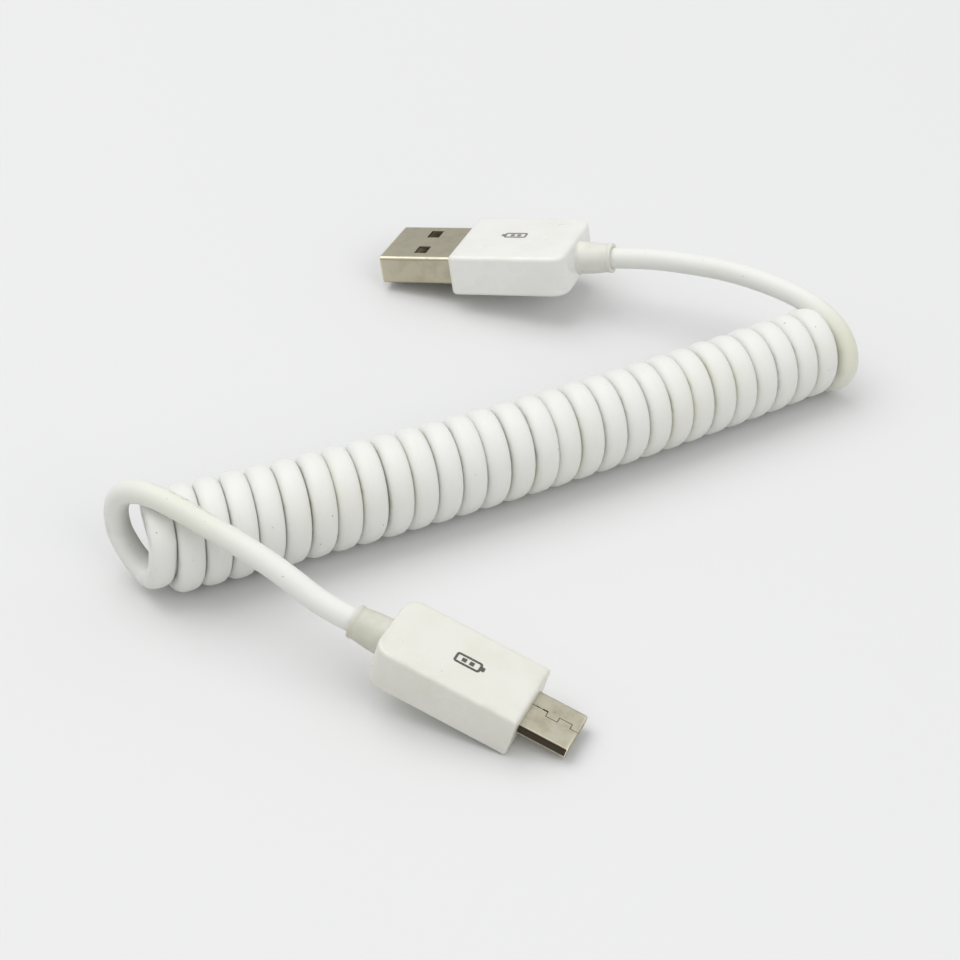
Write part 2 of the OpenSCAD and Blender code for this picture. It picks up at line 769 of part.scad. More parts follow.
usb_shell();
usb_insulator();
usb_contact_power();
usb_contact_data_minus();
usb_contact_data_plus();
usb_contact_ground();
usb_rear_shield_top();
usb_rear_shield_bottom();
usb_inner_cover();
usb_cable_clamp();
usb_jacket_end();
usb_wire_red();
usb_wire_white();
usb_wire_green();
usb_wire_black();
usb_solder_joints();
usb_housing();
usb_strain_relief();
usb_mark();
micro_shell();
micro_insulator();
micro_contact_arm_1();
micro_contact_arm_2();
micro_contact_arm_3();
micro_contact_arm_4();
micro_contact_arm_5();
micro_contact_roots();
micro_latch_arm_left();
micro_latch_arm_right();
micro_latch_roots();
micro_rear_shield_top();
micro_rear_shield_bottom();
micro_inner_cover();
micro_cable_clamp();
micro_jacket_end();
micro_wire_red();
micro_wire_white();
micro_wire_green();
micro_wire_black();
micro_solder_joints();
micro_housing();
micro_strain_relief();
micro_mark();
coil();
usb_lead();
micro_lead();
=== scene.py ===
"""Charging cable: a coiled cord with a host plug at one end and a micro plug at the other.

Each plug is built in a frame of its own, in millimetres: x = 0 is the housing's front face, +x runs
to the metal tip and +z is the printed side. A Placement then lays it on the ground, in metres.
"""
import json
import logging
import math
from dataclasses import dataclass, field
from enum import Enum
from typing import Callable, ClassVar, Iterable, Sequence

import bmesh
import bpy
from mathutils import Euler, Matrix, Vector


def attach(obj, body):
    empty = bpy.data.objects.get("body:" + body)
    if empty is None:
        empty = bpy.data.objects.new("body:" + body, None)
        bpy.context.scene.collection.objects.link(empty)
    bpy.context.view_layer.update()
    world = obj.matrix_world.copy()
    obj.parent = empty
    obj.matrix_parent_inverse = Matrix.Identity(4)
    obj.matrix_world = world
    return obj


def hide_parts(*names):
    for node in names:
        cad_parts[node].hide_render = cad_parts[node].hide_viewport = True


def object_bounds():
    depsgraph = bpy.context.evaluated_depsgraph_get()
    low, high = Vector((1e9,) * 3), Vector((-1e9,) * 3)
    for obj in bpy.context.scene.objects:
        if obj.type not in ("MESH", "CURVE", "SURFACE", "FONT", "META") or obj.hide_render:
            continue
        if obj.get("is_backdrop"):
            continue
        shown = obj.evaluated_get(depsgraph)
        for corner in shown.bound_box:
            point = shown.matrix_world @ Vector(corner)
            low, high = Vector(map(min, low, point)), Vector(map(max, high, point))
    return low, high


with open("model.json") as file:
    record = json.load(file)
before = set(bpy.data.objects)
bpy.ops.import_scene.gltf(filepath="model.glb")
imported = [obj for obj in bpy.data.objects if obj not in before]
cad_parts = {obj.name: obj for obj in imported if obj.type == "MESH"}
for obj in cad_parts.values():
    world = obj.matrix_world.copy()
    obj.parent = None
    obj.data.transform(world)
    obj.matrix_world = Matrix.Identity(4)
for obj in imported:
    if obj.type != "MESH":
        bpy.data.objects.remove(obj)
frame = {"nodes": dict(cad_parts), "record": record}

LOG = logging.getLogger("cable")
Point2 = tuple[float, float]
Triple = tuple[float, float, float]
Colour = Triple

MM = 0.001
CORD_R = 1.6  # the round cord's radius, in millimetres
WINDOWS = ((5.8, -2.95), (5.8, 2.95))  # the middles of the host plug's latch windows


# ---------------------------------------------------------------- shader arithmetic


class Val:
    """A shader socket that takes part in Python arithmetic."""

    def __init__(self, shade: "Shade", socket: bpy.types.NodeSocket) -> None:
        """Keeps the tree and the output socket that it wraps."""
        self.shade = shade
        self.socket = socket

    def _math(self, operation: str, *values: object) -> "Val":
        """Adds a Math node on the given values and returns its result."""
        settings = {"operation": operation}
        return self.shade.value("ShaderNodeMath", settings, dict(enumerate(values)))

    def __add__(self, other: object) -> "Val":
        """self + other."""
        return self._math("ADD", self, other)

    __radd__ = __add__

    def __sub__(self, other: object) -> "Val":
        """self - other."""
        return self._math("SUBTRACT", self, other)

    def __rsub__(self, other: object) -> "Val":
        """other - self."""
        return self._math("SUBTRACT", other, self)

    def __mul__(self, other: object) -> "Val":
        """self * other."""
        return self._math("MULTIPLY", self, other)

    __rmul__ = __mul__

    def most(self, other: object) -> "Val":
        """The larger of the two."""
        return self._math("MAXIMUM", self, other)

    def band(self, low: float, high: float) -> "Val":
        """A smooth step: 0 at low and 1 at high.

        Args:
            low: The value that gives 0.
            high: The value that gives 1; it may be below low.

        Returns:
            The step, from 0 to 1.
        """
        settings = {"interpolation_type": "SMOOTHSTEP"}
        inputs = {"Value": self, "From Min": low, "From Max": high}
        return self.shade.value("ShaderNodeMapRange", settings, inputs)


class Shade:
    """The node tree of a material or a world, with short ways to add to it."""

    def __init__(self, owner: bpy.types.Material | bpy.types.World) -> None:
        """Empties the owner's tree and keeps it.

        Args:
            owner: The material or world whose tree it is.
        """
        self.owner = owner
        owner.use_nodes = True
        self.tree = owner.node_tree
        self.tree.nodes.clear()

    @classmethod
    def named(cls, name: str) -> "Shade":
        """Starts a material of that name."""
        return cls(bpy.data.materials.new(name))

    def node(self, kind: str, settings: dict[str, object], inputs: dict) -> bpy.types.Node:
        """Adds a node.

        Args:
            kind: The node's type.
            settings: Its properties, set first.
            inputs: Socket name or index to a Val, a socket or a plain value.

        Returns:
            The node.
        """
        made = self.tree.nodes.new(kind)
        for name, setting in settings.items():
            setattr(made, name, setting)
        for key, given in inputs.items():
            target = made.inputs[key]
            if isinstance(given, Val):
                self.tree.links.new(given.socket, target)
            elif isinstance(given, tuple) and target.type == "RGBA" and len(given) == 3:
                target.default_value = (*given, 1.0)
            else:
                target.default_value = given
        return made

    def value(self, kind: str, settings: dict, inputs: dict, output: int | str = 0) -> Val:
        """Adds a node and returns one of its outputs.

        Args:
            kind: The node's type.
            settings: Its properties.
            inputs: Its socket values or links.
            output: The output's name or index.

        Returns:
            That output.
        """
        return Val(self, self.node(kind, settings, inputs).outputs[output])

    def place(self) -> Val:
        """The point on the object, in metres."""
        return self.value("ShaderNodeTexCoord", {}, {}, "Object")

    def attribute(self, name: str, output: str = "Fac") -> Val:
        """An attribute of the piece."""
        return self.value("ShaderNodeAttribute", {"attribute_name": name}, {}, output)

    def turned(self, vector: Val, scale: Triple, turn: Triple = (0.0, 0.0, 0.0)) -> Val:
        """A vector turned by the angles in degrees and then stretched.

        Args:
            vector: The vector to map.
            scale: The stretch along x, y and z.
            turn: The angles about x, y and z.

        Returns:
            The mapped vector.
        """
        angles = tuple(math.radians(a) for a in turn)
        turned = self.value("ShaderNodeMapping", {}, {"Vector": vector, "Rotation": angles})
        return self.value("ShaderNodeMapping", {}, {"Vector": turned, "Scale": scale})

    def parts(self, vector: Val) -> tuple[Val, Val, Val]:
        """A vector's x, y and z."""
        split = self.node("ShaderNodeSeparateXYZ", {}, {0: vector})
        return tuple(Val(self, output) for output in split.outputs)

    def near(self, vector: Val, point: Vector, reach: float) -> Val:
        """How near a point is: 1 within half the reach and 0 beyond it.

        Args:
            vector: The place that is measured.
            point: The point, in metres.
            reach: Where the value ends, in metres.

        Returns:
            The nearness.
        """
        inputs = {0: vector, 1: tuple(point)}
        gap = self.value("ShaderNodeVectorMath", {"operation": "DISTANCE"}, inputs, "Value")
        return gap.band(reach, reach * 0.5)

    def shaded_around(self, colour: Val, shade_points: Sequence[Vector], reach: float = 0.003) -> Val:
        """A colour darkened by painted shade around some points.

        Args:
            colour: The colour.
            shade_points: The points, in metres.
            reach: How far the painted shade reaches, in metres.

        Returns:
            The darkened colour.
        """
        for point in shade_points:
            colour = self.mix(self.near(self.place(), point, reach) * 0.9, colour, WINDOW_SHADE)
        return colour

    def noise(self, vector: Val, scale: float, detail: float = 3.0, rough: float = 0.5) -> Val:
        """Cloudy noise, about 0.5 on average.

        Args:
            vector: Where to read it.
            scale: Features for each unit of the vector.
            detail: How many finer layers it has.
            rough: How strong those are.

        Returns:
            The noise.
        """
        inputs = {"Vector": vector, "Scale": scale, "Detail": detail, "Roughness": rough}
        return self.value("ShaderNodeTexNoise", {}, inputs, "Fac")

    def specks(self, vector: Val, scale: float, size: float, share: float) -> Val:
        """Small round specks, one in some of the cells.

        Args:
            vector: Where to read them.
            scale: Cells for each unit of the vector.
            size: A speck's radius as a share of its cell.
            share: The share of the cells that have one.

        Returns:
            1 in a speck and 0 elsewhere.
        """
        cells = self.node("ShaderNodeTexVoronoi", {}, {"Vector": vector, "Scale": scale})
        near = Val(self, cells.outputs["Distance"]).band(size, size * 0.45)
        chance, weight, _ = self.parts(Val(self, cells.outputs["Color"]))
        return near * chance.band(1.0 - share, 1.0 - share * 0.8) * (weight * 0.8 + 0.2)

    def mix(self, factor: object, first: object, second: object) -> Val:
        """A blend of two colours.

        Args:
            factor: 0 gives the first and 1 the second.
            first: A colour or a link.
            second: A colour or a link.

        Returns:
            The blended colour.
        """
        return self.value("ShaderNodeMix", {"data_type": "RGBA"}, {0: factor, 6: first, 7: second}, 2)

    def bump(self, height: Val, distance: float, strength: float = 1.0) -> Val:
        """A normal bent by a height.

        Args:
            height: The height, from 0 to 1.
            distance: The height's size in metres.
            strength: How much of it shows.

        Returns:
            The normal.
        """
        inputs = {"Height": height, "Distance": distance, "Strength": strength}
        return self.value("ShaderNodeBump", {}, inputs, "Normal")

    def surface(self, **inputs: object) -> bpy.types.Material:
        """Ends the tree in a Principled shader.

        Args:
            inputs: Socket names, with _ for a space, and their values or links.

        Returns:
            The finished material.
        """
        named = {key.replace("_", " "): given for key, given in inputs.items()}
        shader = self.node("ShaderNodeBsdfPrincipled", {}, named)
        result = Val(self, shader.outputs[0])
        self.node("ShaderNodeOutputMaterial", {}, {"Surface": result})
        return self.owner


# ---------------------------------------------------------------- finishes


# Painted shade for the recess seen through the host shell's windows.
WINDOW_SHADE = (0.045, 0.028, 0.014)
SPECK = (0.16, 0.13, 0.09)
CORD_SPECK = (0.16, 0.14, 0.1)
# Painted shade in the grooves between the coil's turns.
GROOVE_SHADE_COLOUR = (0.34, 0.33, 0.24)
SCUFF = (0.5, 0.49, 0.42)
RUBBED_DIRT = (0.13, 0.11, 0.06)
# Painted shade on the small shell's side walls and mouth.
PAINTED_SHADE_COLOUR = (0.045, 0.032, 0.022)


class Sheen(Enum):
    """How glossy a moulding is: its roughness and its clear top layer."""

    MATT = (0.62, 0.0)
    SATIN = (0.42, 0.05)
    GLOSSY = (0.27, 0.25)

    @property
    def roughness(self) -> float:
        """The base roughness."""
        return self.value[0]

    @property
    def top(self) -> float:
        """The weight of the clear top layer."""
        return self.value[1]


@dataclass(frozen=True)
class Moulding:
    """Moulded plastic that has been handled: clouded, a little yellowed and specked.

    Attributes:
        name: The material's name.
        clean: The colour where it is clean.
        aged: The colour that it ages to.
        sheen: How glossy it is.
        grime: How much dirt it holds, from 0 to 1.
        shade_points: Points, in metres, around which shade is painted, as in the recess seen through
            the shell's windows.
    """

    name: str
    clean: Colour
    aged: Colour
    sheen: Sheen = Sheen.SATIN
    grime: float = 0.5
    shade_points: tuple[Vector, ...] = ()

    def material(self) -> bpy.types.Material:
        """Builds the material.

        Returns:
            The finished material.
        """
        s = Shade.named(self.name)
        at = s.place()
        clouds = s.noise(at, 140.0, 4.0, 0.6).band(0.38, 0.72)
        smears = s.noise(at, 190.0, 1.5, 0.5)
        edge_wear_and_highlight = s.attribute("edge")
        film = smears.band(0.5, 0.9) * 0.12 + edge_wear_and_highlight * s.noise(at, 500.0, 3.0).band(0.35, 0.7) * 0.7
        colour = s.mix(clouds * (0.6 * self.grime), self.clean, self.aged)
        dirty = tuple(c * k for c, k in zip(self.aged, (0.66, 0.62, 0.5)))
        colour = s.mix(film * (0.42 * self.grime), colour, dirty)
        dots = s.specks(at, 900.0, 0.16, 0.035) * self.grime
        colour = s.mix(dots * 0.8, colour, SPECK)
        # Painted shade where the part shows through the shell's windows.
        colour = s.shaded_around(colour, self.shade_points)
        rough = self.sheen.roughness + smears.band(0.35, 0.75) * 0.07 + edge_wear_and_highlight * 0.08
        grain = s.noise(at, 5200.0, 2.0) * 0.55 + s.noise(at, 800.0, 3.0) * 0.45
        return s.surface(Base_Color=colour, Roughness=rough, Coat_Weight=self.sheen.top,
                         Coat_Roughness=0.16, IOR=1.47, Normal=s.bump(grain, 0.000014, 0.5))


@dataclass(frozen=True)
class Jacket:
    """The cord's flexible skin, with grime that follows the cord and painted shade in the coil's
    grooves.

    Attributes:
        name: The material's name.
        clean: The colour where it is clean.
        aged: The yellow-green cast that handling leaves.
    """

    name: str
    clean: Colour
    aged: Colour

    def material(self) -> bpy.types.Material:
        """Builds the material.

        Returns:
            The finished material.
        """
        s = Shade.named(self.name)
        skin = s.attribute("skin", "Vector")
        at = s.place()
        _, side, _ = s.parts(skin)
        patches = s.noise(at, 70.0, 4.0, 0.62).band(0.46, 0.78)
        rubbed = s.noise(s.turned(skin, (0.35, 1.0, 1.0)), 900.0, 4.0, 0.6).band(0.48, 0.8)
        # Painted shade in the grooves where the turns press together; it also draws in the yellow-green
        # cast there.
        groove_shade = (side * side * (CORD_R * MM) ** -2).band(0.66, 1.0) * s.attribute("packed")
        cast = (patches * 0.2 + rubbed * 0.12 + groove_shade * patches * 0.6).most(s.attribute("stain") * 0.9)
        colour = s.mix(cast, self.clean, self.aged)
        lines = groove_shade * s.noise(at, 260.0, 4.0, 0.7).band(0.45, 0.8)
        colour = s.mix(lines * 0.55, colour, GROOVE_SHADE_COLOUR)
        dust = s.specks(skin, 620.0, 0.13, 0.07) + s.specks(skin, 1500.0, 0.17, 0.05)
        colour = s.mix(dust * 0.75, colour, CORD_SPECK)
        scuffs = s.noise(s.turned(skin, (0.12, 1.0, 1.0)), 2600.0, 3.0, 0.6).band(0.56, 0.78)
        colour = s.mix(scuffs * 0.1, colour, SCUFF)
        streaks = s.noise(s.turned(skin, (0.5, 1.0, 1.0)), 1500.0, 5.0, 0.75).band(0.5, 0.66)
        soil = s.attribute("dirt") * streaks
        colour = s.mix(soil * 0.85, colour, RUBBED_DIRT)
        rough = 0.5 + rubbed * 0.12 + scuffs * 0.08 + soil * 0.2
        grain = s.noise(skin, 5200.0, 2.0) * 0.5 + s.noise(skin, 900.0, 3.0) * 0.5
        return s.surface(Base_Color=colour, Roughness=rough, IOR=1.46,
                         Subsurface_Weight=0.06, Subsurface_Radius=(0.0012, 0.0011, 0.0009),
                         Normal=s.bump(grain, 0.00002, 0.4))


@dataclass(frozen=True)
class Metal:
    """Plated or bare sheet metal, brushed along one direction.

    Attributes:
        name: The material's name.
        bright: The colour of the clean plating.
        dull: The colour where it is worn or stained.
        roughness: The base roughness.
        turn: The brushing's direction, as angles in degrees.
        wear: How worn it is, from 0 to 1.
        shade_points: Points, in metres, around which shade is painted, as in the recess seen through
            the shell's windows.
    """

    name: str
    bright: Colour
    dull: Colour
    roughness: float = 0.3
    turn: Triple = (0.0, 0.0, 0.0)
    wear: float = 0.5
    shade_points: tuple[Vector, ...] = ()

    def material(self) -> bpy.types.Material:
        """Builds the material.

        Returns:
            The finished material.
        """
        s = Shade.named(self.name)
        at = s.place()
        brushed = s.noise(s.turned(at, (0.06, 1.0, 1.0), self.turn), 4200.0, 3.0, 0.6)
        scratches = s.noise(s.turned(at, (0.05, 1.0, 1.0), self.turn), 1500.0, 4.0, 0.7).band(0.6, 0.7)
        stains = s.noise(at, 380.0, 4.0, 0.6).band(0.42, 0.72)
        pits = s.specks(at, 1400.0, 0.22, 0.14) * self.wear
        edge_wear_and_highlight = s.attribute("edge")
        faded = stains * (0.55 * self.wear) + scratches * (0.2 * self.wear)
        colour = s.mix(faded, self.bright, self.dull)
        colour = s.mix(pits * 0.6, colour, tuple(c * 0.35 for c in self.dull))
        # Partly real edge wear, partly a painted highlight: the rim's edge number brightens the
        # plating.
        colour = s.mix(edge_wear_and_highlight * 0.75, colour, tuple(min(1.0, c * 1.5) for c in self.bright))
        # The shade attribute paints light on the small shell: shade where it is above 0, a highlight
        # where it is below 0.
        shade = s.attribute("shade")
        colour = s.mix(shade * 0.96, colour, PAINTED_SHADE_COLOUR)
        colour = s.mix(shade * -1.0, colour, tuple(min(1.0, c * 1.6) for c in self.bright))
        # Painted shade where the part shows through the shell's windows.
        colour = s.shaded_around(colour, self.shade_points)
        rough = self.roughness + brushed * 0.1 + stains * (0.12 * self.wear) - edge_wear_and_highlight * 0.06
        height = brushed * 0.5 + scratches * (0.5 * self.wear)
        return s.surface(Base_Color=colour, Metallic=1.0, Roughness=rough,
                         Normal=s.bump(height, 0.000006, 0.5))


@dataclass(frozen=True)
class Ink:
    """Printed ink, a little worn through.

    Attributes:
        name: The material's name.
        colour: The ink's colour.
        under: The colour that shows where it has worn.
    """

    name: str
    colour: Colour
    under: Colour

    def material(self) -> bpy.types.Material:
        """Builds the material.

        Returns:
            The finished material.
        """
        s = Shade.named(self.name)
        at = s.place()
        thin = s.noise(at, 2600.0, 4.0, 0.7).band(0.55, 0.8)
        colour = s.mix(thin * 0.5, self.colour, self.under)
        return s.surface(Base_Color=colour, Roughness=0.46 + thin * 0.15,
                         Normal=s.bump(s.noise(at, 6000.0), 0.000008, 0.4))


@dataclass(frozen=True)
class WireSkin:
    """A thin wire's glossy insulation, with faint draw lines.

    Attributes:
        name: The material's name.
        colour: Its colour.
    """

    name: str
    colour: Colour

    def material(self) -> bpy.types.Material:
        """Builds the material.

        Returns:
            The finished material.
        """
        s = Shade.named(self.name)
        at = s.place()
        lines = s.noise(at, 2400.0, 3.0, 0.6)
        dusty = tuple(0.75 * c + 0.08 for c in self.colour)
        colour = s.mix(lines.band(0.45, 0.8) * 0.5, self.colour, dusty)
        return s.surface(Base_Color=colour, Roughness=0.3 + lines * 0.12,
                         Normal=s.bump(lines, 0.00001, 0.4))


def finishes(shade_points: tuple[Vector, ...]) -> dict[str, bpy.types.Material]:
    """Builds every finish.

    Args:
        shade_points: Points behind the shell's windows, in metres, around which shade is painted.

    Returns:
        The record's material slot to its material, with the names of the shades that only one plug has.
    """
    nickel = (0.52, 0.485, 0.375)
    tarnish = (0.32, 0.28, 0.19)
    every = {
        "housing_plastic": Moulding("White housing moulding", (0.765, 0.762, 0.735),
                                    (0.68, 0.67, 0.585), Sheen.GLOSSY, 0.5),
        "relief_plastic": Moulding("Soft collar moulding", (0.71, 0.71, 0.665),
                                   (0.6, 0.59, 0.495), Sheen.SATIN, 0.7),
        "cord_jacket": Jacket("White cord jacket", (0.75, 0.753, 0.723), (0.66, 0.67, 0.52)),
        "nickel_shell": Metal("Nickel plated shell", nickel, tarnish, 0.3, (0.0, 0.0, 22.0), 0.6),
        "micro_nickel": Metal("Bright nickel plated shell", (0.6, 0.57, 0.45), (0.33, 0.28, 0.18), 0.25,
                              (0.0, 0.0, 22.0), 0.9),
        "micro_housing": Moulding("Ivory housing moulding", (0.72, 0.71, 0.655), (0.62, 0.605, 0.49),
                                  Sheen.GLOSSY, 0.6),
        "micro_collar": Moulding("Ivory collar moulding", (0.6, 0.6, 0.53), (0.5, 0.49, 0.38),
                                 Sheen.SATIN, 0.7),
        "can_steel": Metal("Tinned sheet", (0.55, 0.55, 0.53), (0.36, 0.35, 0.32), 0.42),
        "spring_steel": Metal("Spring strip", (0.62, 0.62, 0.6), (0.42, 0.41, 0.38), 0.26),
        "gold_contact": Metal("Gold plated strip", (0.83, 0.63, 0.29), (0.55, 0.4, 0.18), 0.24,
                              shade_points=shade_points),
        "solder": Metal("Solder", (0.6, 0.61, 0.62), (0.4, 0.4, 0.4), 0.33),
        "white_insulator": Moulding("White insulator", (0.80, 0.79, 0.74), (0.66, 0.64, 0.54),
                                    Sheen.SATIN, 0.4, shade_points),
        "black_insulator": Moulding("Black insulator", (0.022, 0.022, 0.025),
                                    (0.045, 0.043, 0.04), Sheen.SATIN, 0.6),
        "cover_plastic": Moulding("Milky cover", (0.74, 0.71, 0.6), (0.6, 0.56, 0.42), Sheen.MATT, 0.3),
        "wire_red": WireSkin("Red insulation", (0.45, 0.02, 0.015)),
        "wire_white": WireSkin("White insulation", (0.78, 0.78, 0.75)),
        "wire_green": WireSkin("Green insulation", (0.03, 0.2, 0.05)),
        "wire_black": WireSkin("Black insulation", (0.014, 0.014, 0.015)),
        "mark_ink": Ink("Grey printing ink", (0.085, 0.075, 0.065), (0.5, 0.49, 0.45)),
        "usb_mark": Ink("Faded printing ink", (0.19, 0.18, 0.165), (0.55, 0.54, 0.5)),
    }
    return {slot: finish.material() for slot, finish in every.items()}


# ---------------------------------------------------------------- shapes


@dataclass(frozen=True)
class Placement:
    """Where a plug lies.

    Attributes:
        at: The middle of its front face, in millimetres.
        turn: Its angles about x, y and z, in degrees, taken in that order.
    """

    at: Vector
    turn: Triple

    def matrix(self) -> Matrix:
        """The plug's frame in millimetres to the row frame in metres."""
        turn = Euler([math.radians(a) for a in self.turn], "XYZ").to_matrix().to_4x4()
        return Matrix.Translation(self.at * MM) @ turn @ Matrix.Scale(MM, 4)

    def point(self, x: float, y: float = 0.0, z: float = 0.0) -> Vector:
        """A point of the plug's frame, in metres in the row frame."""
        return self.matrix() @ Vector((x, y, z))

    def forward(self) -> Vector:
        """The direction of the plug's tip."""
        return (self.point(1.0) - self.point(0.0)).normalized()


@dataclass(frozen=True)
class Outline:
    """A closed convex outline with a radius at each corner, counter-clockwise.

    Attributes:
        corners: The sharp corners.
        radii: The radius at each corner.
    """

    corners: tuple[Point2, ...]
    radii: tuple[float, ...]

    @classmethod
    def rectangle(cls, wide: float, high: float, radius: float) -> "Outline":
        """A rounded rectangle with its centre at the origin."""
        x, y = wide / 2, high / 2
        return cls(((x, y), (-x, y), (-x, -y), (x, -y)), (radius,) * 4)

    def _corner(self, i: int) -> tuple[Vector, Vector, Vector]:
        """A corner, and the directions of the sides before and after it.

        Args:
            i: The corner's number.

        Returns:
            The corner and the two directions.
        """
        here = Vector(self.corners[i])
        before = (here - Vector(self.corners[i - 1])).normalized()
        after = (Vector(self.corners[(i + 1) % len(self.corners)]) - here).normalized()
        return here, before, after

    def inset(self, depth: float) -> "Outline":
        """The outline drawn in by a depth.

        Args:
            depth: How far each side moves in; a negative one moves it out.

        Returns:
            The new outline, with its radii drawn in as well.
        """
        moved = []
        for i in range(len(self.corners)):
            here, before, after = self._corner(i)
            half = math.tan(before.angle(after) / 2)
            inward = Vector((-before.y, before.x))
            spot = here + inward * depth - before * (depth * half)
            moved.append((spot.x, spot.y))
        return Outline(tuple(moved), tuple(max(r - depth, 0.02) for r in self.radii))

    def points(self, steps: int = 6) -> list[Vector]:
        """The outline's points.

        Args:
            steps: The parts of each corner's arc.

        Returns:
            steps + 1 points for each corner.
        """
        found = []
        for i, radius in enumerate(self.radii):
            here, before, after = self._corner(i)
            angle = before.angle(after)
            start = here - before * (radius * math.tan(angle / 2))
            centre = start + Vector((-before.y, before.x)) * radius
            arm = start - centre
            found += [centre + Matrix.Rotation(angle * k / steps, 2) @ arm for k in range(steps + 1)]
        return found


@dataclass
class Loft:
    """Rings of equal count that are joined into a skin.

    Attributes:
        rings: The rings, each a list of points.
        wear: One number for each ring, kept as the piece's "edge" attribute.
    """

    rings: list[list[Vector]] = field(default_factory=list)
    wear: list[float] = field(default_factory=list)

    def add(self, points: Iterable[Vector], wear: float = 0.0) -> None:
        """Adds a ring and its wear."""
        self.rings.append(list(points))
        self.wear.append(wear)

    def across(self, outline: Outline, x: float, steps: int = 6, wear: float = 0.0) -> None:
        """Adds an outline that stands across the plug at x."""
        self.add((Vector((x, p.x, p.y)) for p in outline.points(steps)), wear)

    def level(self, outline: Outline, z: float, wear: float) -> None:
        """Adds an outline that lies flat at the height z."""
        self.add((Vector((p.x, p.y, z)) for p in outline.points(8)), wear)

    def hoop(self, x: float, radius: float, steps: int, wear: float = 0.0) -> None:
        """Adds a circle round the plug's axis at x."""
        ring = [2 * math.pi * k / steps for k in range(steps)]
        self.add((Vector((x, radius * math.cos(a), radius * math.sin(a))) for a in ring), wear)

    def mesh(self, name: str, ring_shaped: bool = False) -> bpy.types.Mesh:
        """Joins the rings.

        Args:
            name: The mesh's name.
            ring_shaped: Joins the last ring to the first, in place of closing both ends.

        Returns:
            A closed mesh with its faces outwards.
        """
        work = bmesh.new()
        edge = work.verts.layers.float.new("edge")
        rows = []
        for points, wear in zip(self.rings, self.wear):
            row = [work.verts.new(p) for p in points]
            for vert in row:
                vert[edge] = wear
            rows.append(row)
        pairs = list(zip(rows, rows[1:]))
        if ring_shaped:
            pairs.append((rows[-1], rows[0]))
        for low, high in pairs:
            for i in range(len(low)):
                j = (i + 1) % len(low)
                work.faces.new((low[i], low[j], high[j], high[i]))
        if not ring_shaped:
            work.faces.new(reversed(rows[0]))
            work.faces.new(rows[-1])
        bmesh.ops.recalc_face_normals(work, faces=work.faces)
        if work.calc_volume(signed=True) < 0:
            bmesh.ops.reverse_faces(work, faces=work.faces)
        made = bpy.data.meshes.new(name)
        work.to_mesh(made)
        work.free()
        return made


def block(low: Triple, high: Triple, name: str = "block") -> bpy.types.Mesh:
    """A cutting block.

    Args:
        low: Its lowest corner.
        high: Its highest corner.
        name: The mesh's name.

    Returns:
        The mesh.
    """
    loft = Loft()
    x, y = (low[0] + high[0]) / 2, (low[1] + high[1]) / 2
    outline = Outline.rectangle(high[0] - low[0], high[1] - low[1], 0.02)
    for z in (low[2], high[2]):
        loft.add(Vector((p.x + x, p.y + y, z)) for p in outline.points(1))
    return loft.mesh(name)


def new_object(name: str, data: bpy.types.ID) -> bpy.types.Object:
    """Puts a mesh, a light or a camera in the scene as an object at the origin.

    Args:
        name: The object's name.
        data: What it shows.

    Returns:
        The object.
    """
    made = bpy.data.objects.new(name, data)
    bpy.context.scene.collection.objects.link(made)
    return made


def settled(piece: bpy.types.Object) -> None:
    """Turns the piece's live modifiers into its plain mesh.

    Args:
        piece: The piece, which is changed.
    """
    graph = bpy.context.evaluated_depsgraph_get()
    result = bpy.data.meshes.new_from_object(
        piece.evaluated_get(graph), preserve_all_data_layers=True, depsgraph=graph)
    piece.modifiers.clear()
    piece.data = result


def cut(piece: bpy.types.Object, tools: Iterable[bpy.types.Mesh]) -> None:
    """Takes each tool's shape out of the piece.

    Args:
        piece: What is cut.
        tools: The closed meshes to take away.
    """
    for tool in tools:
        cutter = new_object("cutter", tool)
        step = piece.modifiers.new("cut", "BOOLEAN")
        step.operation = "DIFFERENCE"
        step.solver = "EXACT"
        step.object = cutter
        settled(piece)
        bpy.data.objects.remove(cutter)


def smooth(mesh: bpy.types.Mesh, degrees: float) -> None:
    """Shades a mesh smooth, apart from the edges sharper than an angle."""
    mesh.shade_smooth()
    mesh.set_sharp_from_angle(angle=math.radians(degrees))


def keep(mesh: bpy.types.Mesh, title: str, numbers: Sequence[float]) -> None:
    """Stores one number for each vertex under a title."""
    mesh.attributes.new(title, "FLOAT", "POINT").data.foreach_set("value", numbers)


def dress(piece: bpy.types.Object, finish: bpy.types.Material) -> None:
    """Gives the whole piece one material.

    Args:
        piece: The piece.
        finish: Its material.
    """
    piece.data.materials.clear()
    piece.data.materials.append(finish)
    for face in piece.data.polygons:
        face.material_index = 0


# ---------------------------------------------------------------- plugs


class PlugPart:
    """A piece that is shaped in its plug's frame and then laid on the ground.

    Attributes:
        SMOOTH_BELOW: The sharpest edge that is shaded smooth, in degrees.
    """

    SMOOTH_BELOW: ClassVar[float]

    def shape(self, name: str) -> bpy.types.Object:
        """Shapes the piece in the plug's frame."""
        raise NotImplementedError

    def build(self, name: str, placement: Placement, finish: bpy.types.Material) -> bpy.types.Object:
        """Builds the piece in place.

        Args:
            name: The piece's name.
            placement: The plug's placement.
            finish: Its material.

        Returns:
            The piece.
        """
        piece = self.shape(name)
        smooth(piece.data, self.SMOOTH_BELOW)
        piece.data.transform(placement.matrix())
        dress(piece, finish)
        return piece


